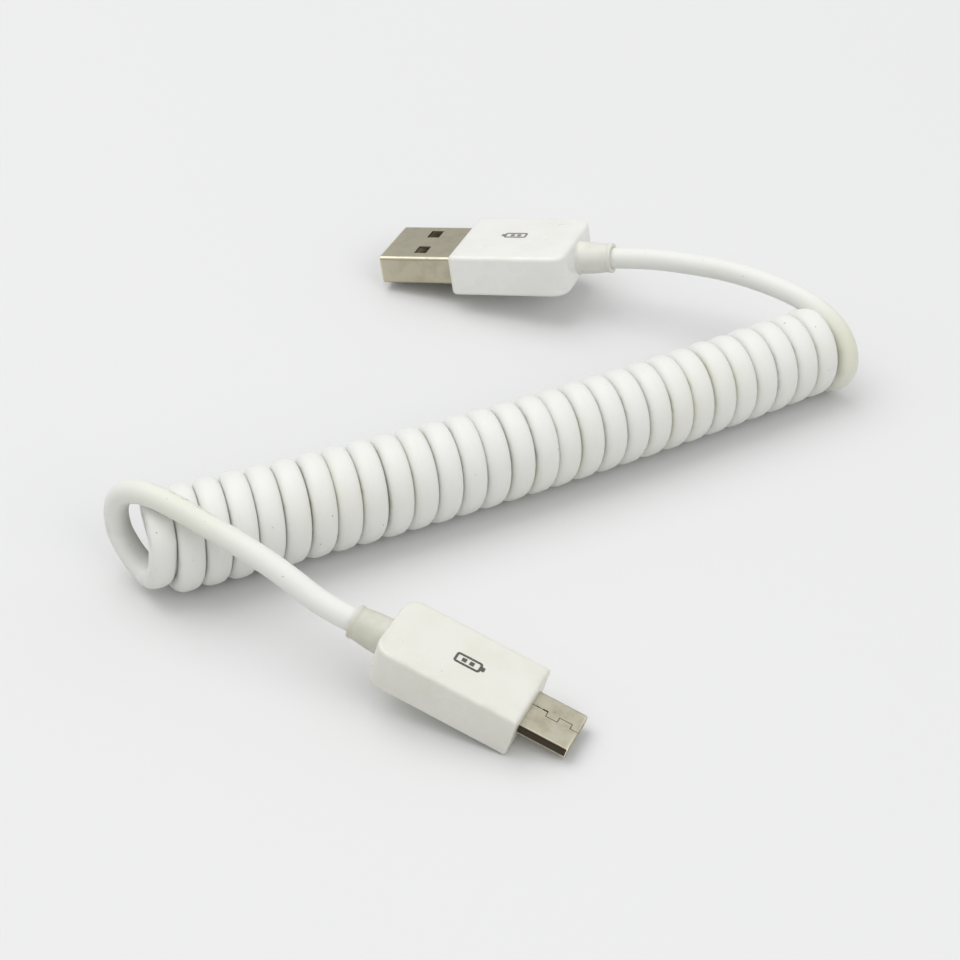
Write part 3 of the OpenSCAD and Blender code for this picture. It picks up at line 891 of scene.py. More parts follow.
@dataclass
class Collar(PlugPart):
    """The tapered strain relief behind a housing, turned round the cord.

    Attributes:
        start: Where the housing ends, measured back from its front.
        length: Its length outside the housing.
        cord_r: The cord's radius.
        root_r: Its radius at the housing.
        end_r: Its radius at the cord end.
        steps: Points round it.
        SMOOTH_BELOW: The sharpest edge that is shaded smooth, in degrees.
    """

    start: float
    length: float
    cord_r: float = CORD_R
    root_r: float = 2.5
    end_r: float = 2.15
    steps: int = 56
    SMOOTH_BELOW: ClassVar[float] = 40.0

    def _profile(self) -> list[Point2]:
        """The outer and inner line, as (x, radius).

        Returns:
            The closed profile's points in order.
        """
        end = -(self.start + self.length)
        bore = self.cord_r + 0.03
        line = [(-self.start + 0.8, bore), (-self.start + 0.8, self.root_r - 0.45)]
        line += [(-self.start, self.root_r - 0.45), (-self.start, self.root_r + 0.12)]
        line += [(-self.start - 0.14, self.root_r + 0.04), (-self.start - 0.32, self.root_r)]
        for k in range(1, 8):
            t = k / 8
            bow = 0.06 * math.sin(math.pi * t)
            line.append((-self.start - 0.32 - (self.length - 1.05) * t,
                         self.root_r + (self.end_r - self.root_r) * t + bow))
        line += [(end + 0.66, self.end_r), (end + 0.55, self.end_r + 0.07)]
        line += [(end + 0.42, self.end_r + 0.12), (end + 0.12, self.end_r + 0.12)]
        line += [(end + 0.03, self.end_r + 0.08), (end, self.end_r - 0.02)]
        line += [(end, self.cord_r + 0.14), (end + 0.06, self.cord_r + 0.05), (end + 0.2, bore)]
        return line

    def shape(self, name: str) -> bpy.types.Object:
        """Turns the profile round the plug's axis.

        Args:
            name: The piece's name.

        Returns:
            The piece.
        """
        loft = Loft()
        for x, r in self._profile():
            edge_wear_and_highlight = 0.8 if r > self.end_r + 0.05 and x < -self.start - 1.0 else 0.0
            loft.hoop(x, r, self.steps, edge_wear_and_highlight)
        return new_object(name, loft.mesh(name, ring_shaped=True))


@dataclass
class Housing(PlugPart):
    """A moulded housing: flat top and bottom, rounded plan corners and softened edges.

    Attributes:
        length: From the front face to the rear face.
        width: Across.
        height: From the bottom to the printed side.
        front_r: The front corners' radius, seen from above.
        rear_r: The rear corners' radius, seen from above.
        can_w: The width of the space inside.
        can_h: The height of the space inside.
        edge_r: The radius of its long edges.
        mouth: The metal shell's section, which the front opening follows.
        crown: How far its broad faces rise to the middle.
        hole_r: The radius of the hole that the cord goes through.
        arc_steps: The parts of each long edge's arc.
        SMOOTH_BELOW: The sharpest edge that is shaded smooth, in degrees.
    """

    length: float
    width: float
    height: float
    front_r: float
    rear_r: float
    can_w: float
    can_h: float
    edge_r: float
    mouth: Outline
    crown: float = 0.05
    hole_r: float = 2.08
    arc_steps: int = 5
    SMOOTH_BELOW: ClassVar[float] = 38.0

    def _plan(self) -> Outline:
        """The outline from above.

        Returns:
            The rounded plan, with its front at x = 0.
        """
        y = self.width / 2
        corners = ((0.0, y), (-self.length, y), (-self.length, -y), (0.0, -y))
        return Outline(corners, (self.front_r, self.rear_r, self.rear_r, self.front_r))

    def _skin(self, name: str) -> bpy.types.Mesh:
        """The outside, as rings that roll over the edges and rise a little to the middle.

        Args:
            name: The mesh's name.

        Returns:
            The closed outside.
        """
        plan = self._plan()
        loft = Loft()
        flat = self.height / 2 - self.crown
        side = [(self.edge_r * (1 - math.cos(a)), flat - self.edge_r * (1 - math.sin(a)), math.sin(a))
                for a in (math.pi / 2 * k / self.arc_steps for k in range(self.arc_steps + 1))]
        top = [(self.edge_r + step, flat + self.crown * rise, 0.0)
               for step, rise in ((0.5, 0.32), (1.1, 0.62), (1.9, 0.88), (2.7, 1.0))]
        rows = [(d, z, w * (1.0 - abs(w - 0.6))) for d, z, w in side] + top
        for depth, z, wear in reversed(rows):
            loft.level(plan.inset(depth), -z, wear)
        for depth, z, wear in rows:
            loft.level(plan.inset(depth), z, wear)
        return loft.mesh(name)

    def _tools(self) -> list[bpy.types.Mesh]:
        """The inner space, the front opening and the cord's hole.

        Returns:
            The meshes to cut with.
        """
        room = Loft()
        inner = Outline.rectangle(self.can_w + 0.06, self.can_h + 0.06, 0.4)
        for x in (-self.length + 0.8, -1.5):
            room.across(inner, x)
        door = Loft()
        for x, grow in ((-1.8, -0.03), (-0.16, -0.03), (0.02, -0.14), (0.5, -0.4)):
            door.across(self.mouth.inset(grow), x)
        hole = Loft()
        for x in (-self.length - 0.5, -self.length + 1.2):
            hole.hoop(x, self.hole_r, 40)
        return [room.mesh("room"), door.mesh("door"), hole.mesh("hole")]

    def shape(self, name: str) -> bpy.types.Object:
        """Makes the outside and hollows it.

        Args:
            name: The piece's name.

        Returns:
            The piece.
        """
        piece = new_object(name, self._skin(name))
        cut(piece, self._tools())
        return piece


@dataclass
class Shell(PlugPart):
    """A folded sheet-metal shell.

    Attributes:
        outline: Its outside section.
        wall: The sheet's thickness.
        tip: Where its open end is.
        back: Where its hidden end is.
        rim: How far the tip's edge is drawn in.
        windows: Blocks that are cut right out of it.
        seam: Blocks that make its joint line.
        painted_light: Its painted light at a point: painted shade up to 1, or a painted highlight below
            0.
        SMOOTH_BELOW: The sharpest edge that is shaded smooth, in degrees.
    """

    outline: Outline
    wall: float
    tip: float
    back: float
    rim: float
    windows: list[bpy.types.Mesh]
    seam: list[bpy.types.Mesh]
    painted_light: Callable[[Vector], float] = lambda point: 0.0
    SMOOTH_BELOW: ClassVar[float] = 32.0

    def _skin(self, name: str) -> bpy.types.Mesh:
        """The outside, the rim and the inside, joined into one ring.

        Args:
            name: The mesh's name.

        Returns:
            The open-ended sheet as a closed mesh.
        """
        loft = Loft()
        outer = self.outline
        lead = self.rim
        # The third number is the ring's edge number: on the rim it paints a highlight on the plating as
        # well as marking its wear.
        stations = [(self.back, 0.0, 0.0), (self.tip - 3.0, 0.0, 0.0), (self.tip - 3 * lead, 0.0, 0.1)]
        stations += [(self.tip - lead * (1 - math.sin(a)), lead * (1 - math.cos(a)), 0.9)
                     for a in (math.pi / 2 * k / 4 for k in range(5))]
        for x, depth, wear in stations:
            loft.across(outer.inset(depth), x, 7, wear)
        inner = [(self.tip, self.wall - 0.4 * lead, 0.7), (self.tip - 0.5 * lead, self.wall, 0.3)]
        inner += [(self.tip - 3.0, self.wall, 0.0), (self.back, self.wall, 0.0)]
        for x, depth, wear in inner:
            loft.across(outer.inset(depth), x, 7, wear)
        return loft.mesh(name, ring_shaped=True)

    def shape(self, name: str) -> bpy.types.Object:
        """Makes the folded sheet, cuts its windows and seam, and stores its painted shade and painted
        highlights.

        Args:
            name: The piece's name.

        Returns:
            The piece.
        """
        piece = new_object(name, self._skin(name))
        cut(piece, [*self.windows, *self.seam])
        # Stores the painted shade and highlights as the shade attribute.
        keep(piece.data, "shade", [self.painted_light(vert.co) for vert in piece.data.vertices])
        return piece


def seam_blocks(ends: Sequence[float], middle: float, step: float, low: float, high: float,
                gap: float = 0.07) -> list[bpy.types.Mesh]:
    """The joint line of a folded sheet, which steps from side to side like interlocked tabs.

    Args:
        ends: Where it starts, steps and ends, along the plug.
        middle: The line's mean place across the plug.
        step: How far it steps.
        low: The bottom of the cut.
        high: The top of the cut.
        gap: The line's width.

    Returns:
        Thin blocks to cut with.
    """
    blocks = []
    for i in range(len(ends) - 1):
        y = middle + step / 2 * (1 if i % 2 == 0 else -1)
        blocks.append(block((ends[i], y - gap / 2, low), (ends[i + 1] + gap, y + gap / 2, high)))
    for x in ends[1:-1]:
        blocks.append(block((x, middle - step / 2 - gap / 2, low - 0.01),
                            (x + gap, middle + step / 2 + gap / 2, high + 0.01)))
    return blocks


@dataclass
class Plug:
    """What both plugs share: a housing, a shell and a collar, ready to be placed.

    Attributes:
        key: The start of its nodes' names.
        placement: Where it lies.
        housing: Its housing.
        collar: Its strain relief.
        shell: Its metal shell.
        shades: The names of its housing's, shell's and collar's finishes.
        pieces: What build made, by the end of its node's name.
    """

    key: str
    placement: Placement
    housing: Housing
    collar: Collar
    shell: Shell
    shades: tuple[str, str, str] = ("housing_plastic", "nickel_shell", "relief_plastic")
    pieces: dict[str, bpy.types.Object] = field(default_factory=dict)

    def cord_exit(self) -> Vector:
        """Where the cord leaves the collar."""
        return self.placement.point(-(self.housing.length + self.collar.length))

    def build(self, looks: dict[str, bpy.types.Material]) -> None:
        """Builds the outside pieces and stands them in for their nodes.

        Args:
            looks: Material slot to material.
        """
        rows = ((self.housing, "housing", "housing_skin", "housing_plastic"),
                (self.shell, "shell", "shell_skin", "nickel_shell"),
                (self.collar, "strain_relief", "collar", "relief_plastic"))
        for (part, node, name, slot), shade in zip(rows, self.shades):
            piece = part.build(f"{self.key}_{name}", self.placement, looks[shade])
            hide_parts(f"{self.key}_{node}")
            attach(piece, "cable")
            self.pieces[node] = piece
            LOG.info("%s %s: %d faces", self.key, node, len(piece.data.polygons))


def host_plug() -> Plug:
    """The wide plug, with four latch windows and its joint line underneath.

    Returns:
        The plug, ready to build.
    """
    wide, high, corner_r, tip = 12.0, 4.5, 0.6, 12.0
    windows = [block((x - 1.0, y - 1.25, -3.0), (x + 1.0, y + 1.25, 3.0)) for x, y in WINDOWS]
    seam = seam_blocks((-4.0, 2.4, 4.4, 8.2, 13.0), 0.0, 1.6, -2.6, -1.7)
    outline = Outline.rectangle(wide, high, corner_r)
    shell = Shell(outline, 0.3, tip, -5.0, 0.12, windows, seam)
    angles = (6.2, 10.4, 162.0)
    roll, dip = (math.radians(a) for a in angles[:2])
    # The lowest corner of the tip rests on the ground.
    drop = (wide / 2 - corner_r) * math.sin(roll) + (high / 2 - corner_r) * math.cos(roll) + corner_r
    rise = tip * math.sin(dip) + drop * math.cos(dip)
    housing = Housing(18.8, 15.6, 6.6, 0.9, 2.5, 12.6, 5.1, edge_r=0.7, mouth=outline)
    collar = Collar(housing.length, 5.4)
    return Plug("usb", Placement(Vector((-4.63, 48.53, rise)), angles), housing, collar, shell)


def phone_painted_light(point: Vector) -> float:
    """The small shell's painted light at a point: painted shade on its side walls and at its mouth, and
    painted highlights on the rim behind the mouth and on the bevels below the walls.

    Args:
        point: A point of the shell, in its plug's frame.

    Returns:
        Up to 1 for painted shade, and below 0 for a painted highlight.
    """
    mouth, rim = point.x > 6.58, point.x > 6.48
    wall = abs(point.y) > 3.24 and -0.25 < point.z < 0.84
    bevel = abs(point.y) > 2.9 and point.z < -0.3
    if mouth or rim:
        return 0.9 if mouth else -0.8
    if wall or bevel:
        return 1.0 if wall else -0.5
    return 0.0


def phone_plug() -> Plug:
    """The small plug, with bevelled lower edges, its joint line on top and two hook slots.

    Returns:
        The plug, ready to build.
    """
    half_w, half_h, top_r, low_r = 3.425, 0.9, 0.45, 0.15
    inward, upward = 0.34, 0.68  # how far each lower bevel reaches
    shoulder = upward - half_h
    corners = ((half_w, half_h), (-half_w, half_h), (-half_w, shoulder), (inward - half_w, -half_h),
               (half_w - inward, -half_h), (half_w, shoulder))
    outline = Outline(corners, (top_r, top_r, low_r, low_r, low_r, low_r))
    slots = [block((4.3, y - 0.3, -1.2), (5.6, y + 0.3, -0.55)) for y in (-2.3, 2.3)]
    slots += [block((0.5, 0.68, 0.5), (1.05, 0.82, 1.2)), block((1.45, 0.66, 0.5), (2.12, 0.88, 1.2))]
    seam = seam_blocks((-3.0, 2.1, 3.7, 5.45, 8.0), 0.35, 0.8, 0.55, 1.2, 0.09)
    # Its walls and mouth get painted shade, its rim and bevels painted highlights.
    shell = Shell(outline, 0.25, 6.6, -4.5, 0.13, slots, seam, phone_painted_light)
    housing = Housing(19.9, 10.8, 6.4, 0.4, 2.2, 8.6, 4.6, edge_r=0.5, mouth=outline)
    angles = (0.0, 14.6, -24.3)
    # The housing's lower front edge rests on the ground.
    rise = housing.height / 2 * math.cos(math.radians(angles[1]))
    shades = ("micro_housing", "micro_nickel", "micro_collar")
    return Plug("micro", Placement(Vector((3.87, -52.27, rise)), angles), housing,
                Collar(housing.length, 4.6), shell, shades)


# ---------------------------------------------------------------- the cord


@dataclass(frozen=True)
class Station:
    """One ring of the cord, in metres.

    Attributes:
        centre: The ring's middle.
        across: Its half-width, as a vector.
        rise: Its half-height, as a vector.
        along: The length of cord before it.
        stain: How stained it is, from 0 to 1.
        packed: How closely its neighbours press on it, from 0 to 1.
    """

    centre: Vector
    across: Vector
    rise: Vector
    along: float
    stain: float
    packed: float


@dataclass(frozen=True)
class Coil:
    """The closed coil, whose axis bends and sinks as its radius falls, in millimetres.

    Attributes:
        turns: The number of turns.
        pitch: From one turn to the next.
        first_r: The outside radius at the micro plug's end.
        last_r: The outside radius at the host plug's end.
        half_tall: Half the strand's thickness, measured out from the axis.
        drawn: How far the first turn's start is drawn in.
        middle: The axis's middle, seen from above.
        heading: The axis's heading there, in degrees.
        bend: How far the heading turns from end to end, in degrees.
        steps: Rings in each turn.
    """

    turns: int = 29
    pitch: float = 3.6
    first_r: float = 7.15
    last_r: float = 6.4
    half_tall: float = 1.5
    drawn: float = 0.75
    middle: Point2 = (1.9, -4.1)
    heading: float = 26.9
    bend: float = 10.5
    steps: int = 28

    @property
    def length(self) -> float:
        """From the first turn to the last."""
        return self.turns * self.pitch

    def way(self, s: float) -> float:
        """The axis's heading at s, in radians."""
        return math.radians(self.heading + self.bend * (s / self.length - 0.5))

    def lean(self, s: float) -> Vector:
        """The axis's direction at s."""
        return Vector((math.cos(self.way(s)), math.sin(self.way(s)), 0.0))

    def outer(self, s: float) -> float:
        """The outside radius at s."""
        return self.first_r + (self.last_r - self.first_r) * s / self.length

    def axis(self, s: float) -> Vector:
        """The axis's point at s.

        Args:
            s: The length along the axis.

        Returns:
            The point.
        """
        curve = math.radians(self.bend) / self.length
        here, mid = self.way(s), math.radians(self.heading)
        x = self.middle[0] + (math.sin(here) - math.sin(mid)) / curve
        y = self.middle[1] - (math.cos(here) - math.cos(mid)) / curve
        return Vector((x, y, self.outer(s)))

    def strand(self, s: float) -> Vector:
        """The strand's centre at s.

        The first turn is drawn in a little, and all of them wander by a few hundredths of a millimetre.

        Args:
            s: The length along the axis.

        Returns:
            The strand's centre.
        """
        angle = math.radians(270.0) - 2 * math.pi * s / self.pitch
        lean = self.lean(s)
        side = Vector((-lean.y, lean.x, 0.0))
        free = math.sin(math.pi * s / self.length)
        wander = free * (0.05 * math.sin(0.61 * s) + 0.04 * math.sin(1.37 * s + 1.0))
        swell = free * (0.06 * math.sin(0.83 * s + 0.4) + 0.04 * math.sin(2.1 * s))
        drawn = self.drawn * max(0.0, 1 - s / self.pitch) ** 2
        reach = self.outer(s) - self.half_tall - drawn + swell * (0.5 + 0.5 * math.sin(angle))
        spot = self.axis(s) + side * (reach * math.cos(angle)) + lean * wander
        spot.z += reach * math.sin(angle)
        return spot


def square_to(vector: Vector, way: Vector) -> Vector:
    """The direction of a vector's part that is square to a way."""
    return (vector - way * vector.dot(way)).normalized()


@dataclass
class Cord:
    """The whole cord: the micro plug's lead, the coil and the host plug's lead.

    Attributes:
        coil: The coiled part.
        first_lead: From the micro plug's collar to the coil, in millimetres.
        last_lead: From the host plug's collar to the coil, in millimetres.
        radius: The round cord's radius.
        half_wide: Half the strand's width in the coil, along the coil's axis.
        sides: Points round a ring.
        blend: Rings over which a lead's round section turns into the coil's.
        rub: Where the first lead has rubbed on the coil and grown dirty.
    """

    coil: Coil
    first_lead: list[Triple]
    last_lead: list[Triple]
    radius: float = CORD_R
    half_wide: float = 1.77
    sides: int = 24
    blend: int = 22
    rub: Vector = field(default_factory=lambda: Vector((-39.0, -28.0, 16.6)))

    def _rub(self, vert: bpy.types.MeshVertex) -> float:
        """How dirty a vertex is where the lead rubs on the coil: strongest on the upper back.

        Args:
            vert: A vertex of the cord.

        Returns:
            The dirt, from 0 to 1.
        """
        gap = (vert.co / MM - self.rub).length
        facing = max(0.0, vert.normal.dot(Vector((0.1, 0.75, 0.65))) - 0.7) / 0.3
        return math.exp(-(gap / 3.6) ** 2) * min(1.0, facing * 1.6)

    def _guides(self, plug: Plug, route: list[Triple]) -> list[Vector]:
        """Two points inside a plug's collar, then its lead, tied to the collar and easing after it.

        Args:
            plug: The plug.
            route: Its lead's way, which starts near the collar.

        Returns:
            The points, in millimetres.
        """
        start, forward = plug.cord_exit() / MM, plug.placement.forward()
        shift = start - Vector(route[0])
        lead = [Vector(p) + shift * max(0.0, 1 - i / 6) for i, p in enumerate(route)]
        return [lead[0] + forward * 3, lead[0] + forward * 0.4, *lead]

    def _curve(self, points: list[Vector], step: float = 0.7) -> list[Vector]:
        """A smooth line through all but the first and last points.

        Args:
            points: The line's points, with one more at each end that only steers it.
            step: The distance between the points that come back, in millimetres.

        Returns:
            The line's points, from the second given to the last but one.
        """
        found = []
        for p0, p1, p2, p3 in zip(points, points[1:], points[2:], points[3:]):
            gaps = [max((b - a).length, 1e-6) ** 0.5 for a, b in ((p0, p1), (p1, p2), (p2, p3))]
            t0, t1 = -gaps[0], 0.0
            t2, t3 = gaps[1], gaps[1] + gaps[2]
            count = max(2, round((p2 - p1).length / step))
            for k in range(count):
                t = t2 * k / count
                a1 = p0.lerp(p1, (t - t0) / (t1 - t0))
                a2 = p1.lerp(p2, (t - t1) / (t2 - t1))
                a3 = p2.lerp(p3, (t - t2) / (t3 - t2))
                b1 = a1.lerp(a2, (t - t0) / (t2 - t0))
                b2 = a2.lerp(a3, (t - t1) / (t3 - t1))
                found.append(b1.lerp(b2, (t - t1) / (t2 - t1)))
        return found

    def _ease(self, line: list[Vector], low: int, high: int, passes: int) -> None:
        """Rounds off a stretch of the line.

        Args:
            line: The line, which is changed.
            low: The stretch's first point.
            high: Its last point.
            passes: How often each point moves half-way to its neighbours' middle.
        """
        for _ in range(passes):
            middles = [(line[i - 1] + line[i + 1]) / 2 for i in range(low, high)]
            for i, middle in zip(range(low, high), middles):
                line[i] = line[i].lerp(middle, 0.5)

    def _line(self, first: Plug, last: Plug) -> tuple[list[Vector], int, int]:
        """The cord's centre line in millimetres, and where the coil starts and ends in it.

        Args:
            first: The plug that the line starts at.
            last: The plug that it ends at.

        Returns:
            The points, and the numbers of the coil's first point and of the first one after it.
        """
        coil = self.coil
        small = coil.pitch / coil.steps
        lead_in, lead_out = self._guides(first, self.first_lead), self._guides(last, self.last_lead)
        begin = self._curve([*lead_in, coil.strand(0.0), coil.strand(2.5 * small)])
        turns = [coil.strand(i * small) for i in range(coil.turns * coil.steps)]
        ending = [coil.strand(coil.length - 2.5 * small), coil.strand(coil.length)]
        end = self._curve([*ending, *reversed(lead_out)])
        line = begin + turns + end + [lead_out[1]]
        start = len(begin)
        self._ease(line, start - 9, start + 10, passes=13)
        return line, start, start + len(turns)

    def stations(self, first: Plug, last: Plug) -> list[Station]:
        """Works out every ring.

        Args:
            first: The plug that the line starts at.
            last: The plug that it ends at.

        Returns:
            The rings in order.
        """
        line, start, stop = self._line(first, last)
        count = len(line)
        ways = [(line[min(i + 1, count - 1)] - line[max(i - 1, 0)]).normalized() for i in range(count)]
        sides: list[Vector] = [Vector()] * count
        for i in range(start, stop):
            s = (i - start) * self.coil.pitch / self.coil.steps
            sides[i] = square_to(self.coil.lean(s), ways[i])
        for i in range(start - 1, -1, -1):
            sides[i] = square_to(sides[i + 1], ways[i])
        for i in range(stop, count):
            sides[i] = square_to(sides[i - 1], ways[i])
        found, run = [], 0.0
        for i in range(count):
            run += (line[i] - line[i - 1]).length if i else 0.0
            out = min(1.0, max(start - i, i - stop, 0) / self.blend)
            packed = 1 - out * out * (3 - 2 * out)
            wide = self.radius + (self.half_wide - self.radius) * packed
            tall = self.radius + (self.coil.half_tall - self.radius) * packed
            stain = 0.8 * math.exp(-((i - stop - 14) / 9) ** 2)
            stain += 0.45 * math.exp(-((line[i] - self.rub).length / 10) ** 2) if i < start else 0.0
            up = ways[i].cross(sides[i])
            found.append(Station(line[i] * MM, sides[i] * wide * MM, up * tall * MM, run * MM,
                                 stain, packed))
        return found

    def build(self, first: Plug, last: Plug, finish: bpy.types.Material) -> bpy.types.Object:
        """Args:
            first: The micro plug.
            last: The host plug.
            finish: The jacket's material.

        Returns:
            The piece.
        """
        rings = self.stations(first, last)
        piece = SweepTree().sweep("cord", rings, self.sides, finish)
        keep(piece.data, "dirt", [self._rub(vert) for vert in piece.data.vertices])
        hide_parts("coil", "usb_lead", "micro_lead")
        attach(piece, "cable")
        last.cord_exit()
        LOG.info("cord: %d rings, %.3f m", len(rings), rings[-1].along)
        return piece


class SweepTree:
    """A Geometry Nodes tree that puts a ring at every station of a line and joins them.

    The line is a chain of points whose attributes "across" and "rise" hold a ring's two half-axes.
    """

    def __init__(self) -> None:
        """Builds the tree."""
        self.group = bpy.data.node_groups.new("Ring sweep", "GeometryNodeTree")
        face = self.group.interface
        face.new_socket(name="Stations", in_out="INPUT", socket_type="NodeSocketGeometry")
        self.sides = face.new_socket(name="Sides", in_out="INPUT", socket_type="NodeSocketInt")
        self.finish = face.new_socket(name="Finish", in_out="INPUT", socket_type="NodeSocketMaterial")
        face.new_socket(name="Tube", in_out="OUTPUT", socket_type="NodeSocketGeometry")
        self._wire()

    def _node(self, kind: str, settings: dict[str, object], inputs: dict) -> bpy.types.Node:
        """Adds a node with its settings, values and links.

        Args:
            kind: The node's type.
            settings: Its properties, set first.
            inputs: Socket name or index to a socket or a plain value.

        Returns:
            The node.
        """
        made = self.group.nodes.new(kind)
        for name, setting in settings.items():
            setattr(made, name, setting)
        for key, given in inputs.items():
            if isinstance(given, bpy.types.NodeSocket):
                self.group.links.new(given, made.inputs[key])
            else:
                made.inputs[key].default_value = given
        return made

    def _math(self, operation: str, first: object, second: object = 0.0) -> bpy.types.NodeSocket:
        """The result of a Math node."""
        return self._node("ShaderNodeMath", {"operation": operation}, {0: first, 1: second}).outputs[0]

    def _read(self, name: str, kind: str = "FLOAT") -> bpy.types.NodeSocket:
        """A stored attribute."""
        node = self._node("GeometryNodeInputNamedAttribute", {"data_type": kind}, {"Name": name})
        return node.outputs["Attribute"]

    def _store(self, geometry: bpy.types.NodeSocket, name: str, value: bpy.types.NodeSocket,
               kind: str = "FLOAT") -> bpy.types.NodeSocket:
        """Stores a value for each point.

        Args:
            geometry: The geometry.
            name: The attribute's name.
            value: Its value.
            kind: Its data type.

        Returns:
            The geometry with the attribute.
        """
        settings = {"data_type": kind, "domain": "POINT"}
        inputs = {"Geometry": geometry, "Name": name, "Value": value}
        return self._node("GeometryNodeStoreNamedAttribute", settings, inputs).outputs[0]

    def _scaled(self, vector: bpy.types.NodeSocket,
                scale: bpy.types.NodeSocket) -> bpy.types.NodeSocket:
        """A vector times a number."""
        node = self._node("ShaderNodeVectorMath", {"operation": "SCALE"}, {0: vector, "Scale": scale})
        return node.outputs[0]

    def _sum(self, first: bpy.types.NodeSocket, second: bpy.types.NodeSocket) -> bpy.types.NodeSocket:
        """The sum of two vectors."""
        node = self._node("ShaderNodeVectorMath", {"operation": "ADD"}, {0: first, 1: second})
        return node.outputs[0]

    def _squared(self, part: bpy.types.NodeSocket) -> bpy.types.NodeSocket:
        """One half-axis's share of a point, pushed outwards where the neighbours press.

        Args:
            part: The sine or cosine of the point's angle.

        Returns:
            The share, from -1 to 1.
        """
        power = self._math("SUBTRACT", 1.0, self._math("MULTIPLY", self._read("packed"), 0.24))
        size = self._math("POWER", self._math("ABSOLUTE", part), power)
        return self._math("MULTIPLY", size, self._math("SIGN", part))

    def _wire(self) -> None:
        """Joins the nodes: line and ring, then each point's place, then its skin coordinate."""
        given = self.group.nodes.new("NodeGroupInput").outputs
        line = self._node("GeometryNodeMeshToCurve", {}, {"Mesh": given["Stations"]})
        ring = self._node("GeometryNodeCurvePrimitiveCircle", {}, {"Resolution": given["Sides"]})
        index = self.group.nodes.new("GeometryNodeInputIndex").outputs[0]
        turn = self._math("MULTIPLY", self._math("DIVIDE", index, given["Sides"]), 2 * math.pi)
        tube = self._node("GeometryNodeCurveToMesh", {}, {
            "Curve": line.outputs[0], "Profile Curve": self._store(ring.outputs[0], "turn", turn),
            "Fill Caps": True})
        angle = self._read("turn")
        c = self._squared(self._math("COSINE", angle))
        s = self._squared(self._math("SINE", angle))
        names = ("centre", "across", "rise")
        centre, across, rise = (self._read(name, "FLOAT_VECTOR") for name in names)
        place = self._sum(centre, self._sum(self._scaled(across, c), self._scaled(rise, s)))
        placed = self._node("GeometryNodeSetPosition", {}, {
            "Geometry": tube.outputs[0], "Position": place})
        skin = self._node("ShaderNodeCombineXYZ", {}, {
            0: self._read("along"), 1: self._math("MULTIPLY", c, CORD_R * MM),
            2: self._math("MULTIPLY", s, CORD_R * MM)})
        kept = self._store(placed.outputs[0], "skin", skin.outputs[0], "FLOAT_VECTOR")
        soft = self._node("GeometryNodeSetShadeSmooth", {}, {"Geometry": kept})
        real = self._node("GeometryNodeRealizeInstances", {}, {"Geometry": soft.outputs[0]})
        done = self._node("GeometryNodeSetMaterial", {}, {
            "Geometry": real.outputs[0], "Material": given["Finish"]})
        self._node("NodeGroupOutput", {}, {"Tube": done.outputs[0]})

    def sweep(self, name: str, rings: list[Station], sides: int,
              finish: bpy.types.Material) -> bpy.types.Object:
        """Sweeps one tube.

        Args:
            name: The piece's name.
            rings: Its stations.
            sides: Points round a ring.
            finish: Its material.

        Returns:
            The tube as a plain mesh.
        """
        line = bpy.data.meshes.new(name)
        line.from_pydata([r.centre for r in rings], [(i, i + 1) for i in range(len(rings) - 1)], [])
        for title in ("centre", "across", "rise"):
            layer = line.attributes.new(title, "FLOAT_VECTOR", "POINT")
            layer.data.foreach_set("vector", [x for r in rings for x in getattr(r, title)])
        for title in ("along", "stain", "packed"):
            keep(line, title, [getattr(r, title) for r in rings])
        piece = new_object(name, line)
        step = piece.modifiers.new("sweep", "NODES")
        step.node_group = self.group
        step[self.sides.identifier] = sides
        step[self.finish.identifier] = finish
        settled(piece)
        self._tidy(piece.data)
        dress(piece, finish)
        return piece

    def _tidy(self, mesh: bpy.types.Mesh) -> None:
        """Turns the faces outwards and drops the attributes that only steered the sweep.

        Args:
            mesh: The swept mesh, which is changed.
        """
        work = bmesh.new()
        work.from_mesh(mesh)
        if work.calc_volume(signed=True) < 0:
            bmesh.ops.reverse_faces(work, faces=work.faces)
        work.to_mesh(mesh)
        work.free()
        for title in ("centre", "across", "rise", "turn"):
            layer = mesh.attributes.get(title)
            if layer is not None:
                mesh.attributes.remove(layer)


# ---------------------------------------------------------------- the studio


@dataclass(frozen=True)
class Lamp:
    """A soft area light.

    Attributes:
        name: Its name.
        at: Where it stands, in metres.
        size: Its side.
        power: Its power in watts.
        tint: Its colour.
    """

    name: str
    at: Triple
    size: float
    power: float
    tint: Colour = (1.0, 1.0, 1.0)

    def build(self) -> bpy.types.Object:
        """Makes the light and aims it at the object.

        Returns:
            The light's object.
        """
        data = bpy.data.lights.new(self.name, "AREA")
        data.shape = "DISK"
        data.size = self.size
        data.energy = self.power
        data.color = self.tint
        lamp = new_object(self.name, data)
        lamp.location = self.at
        lamp.rotation_euler = (-Vector(self.at)).to_track_quat("-Z", "Y").to_euler()
        return lamp


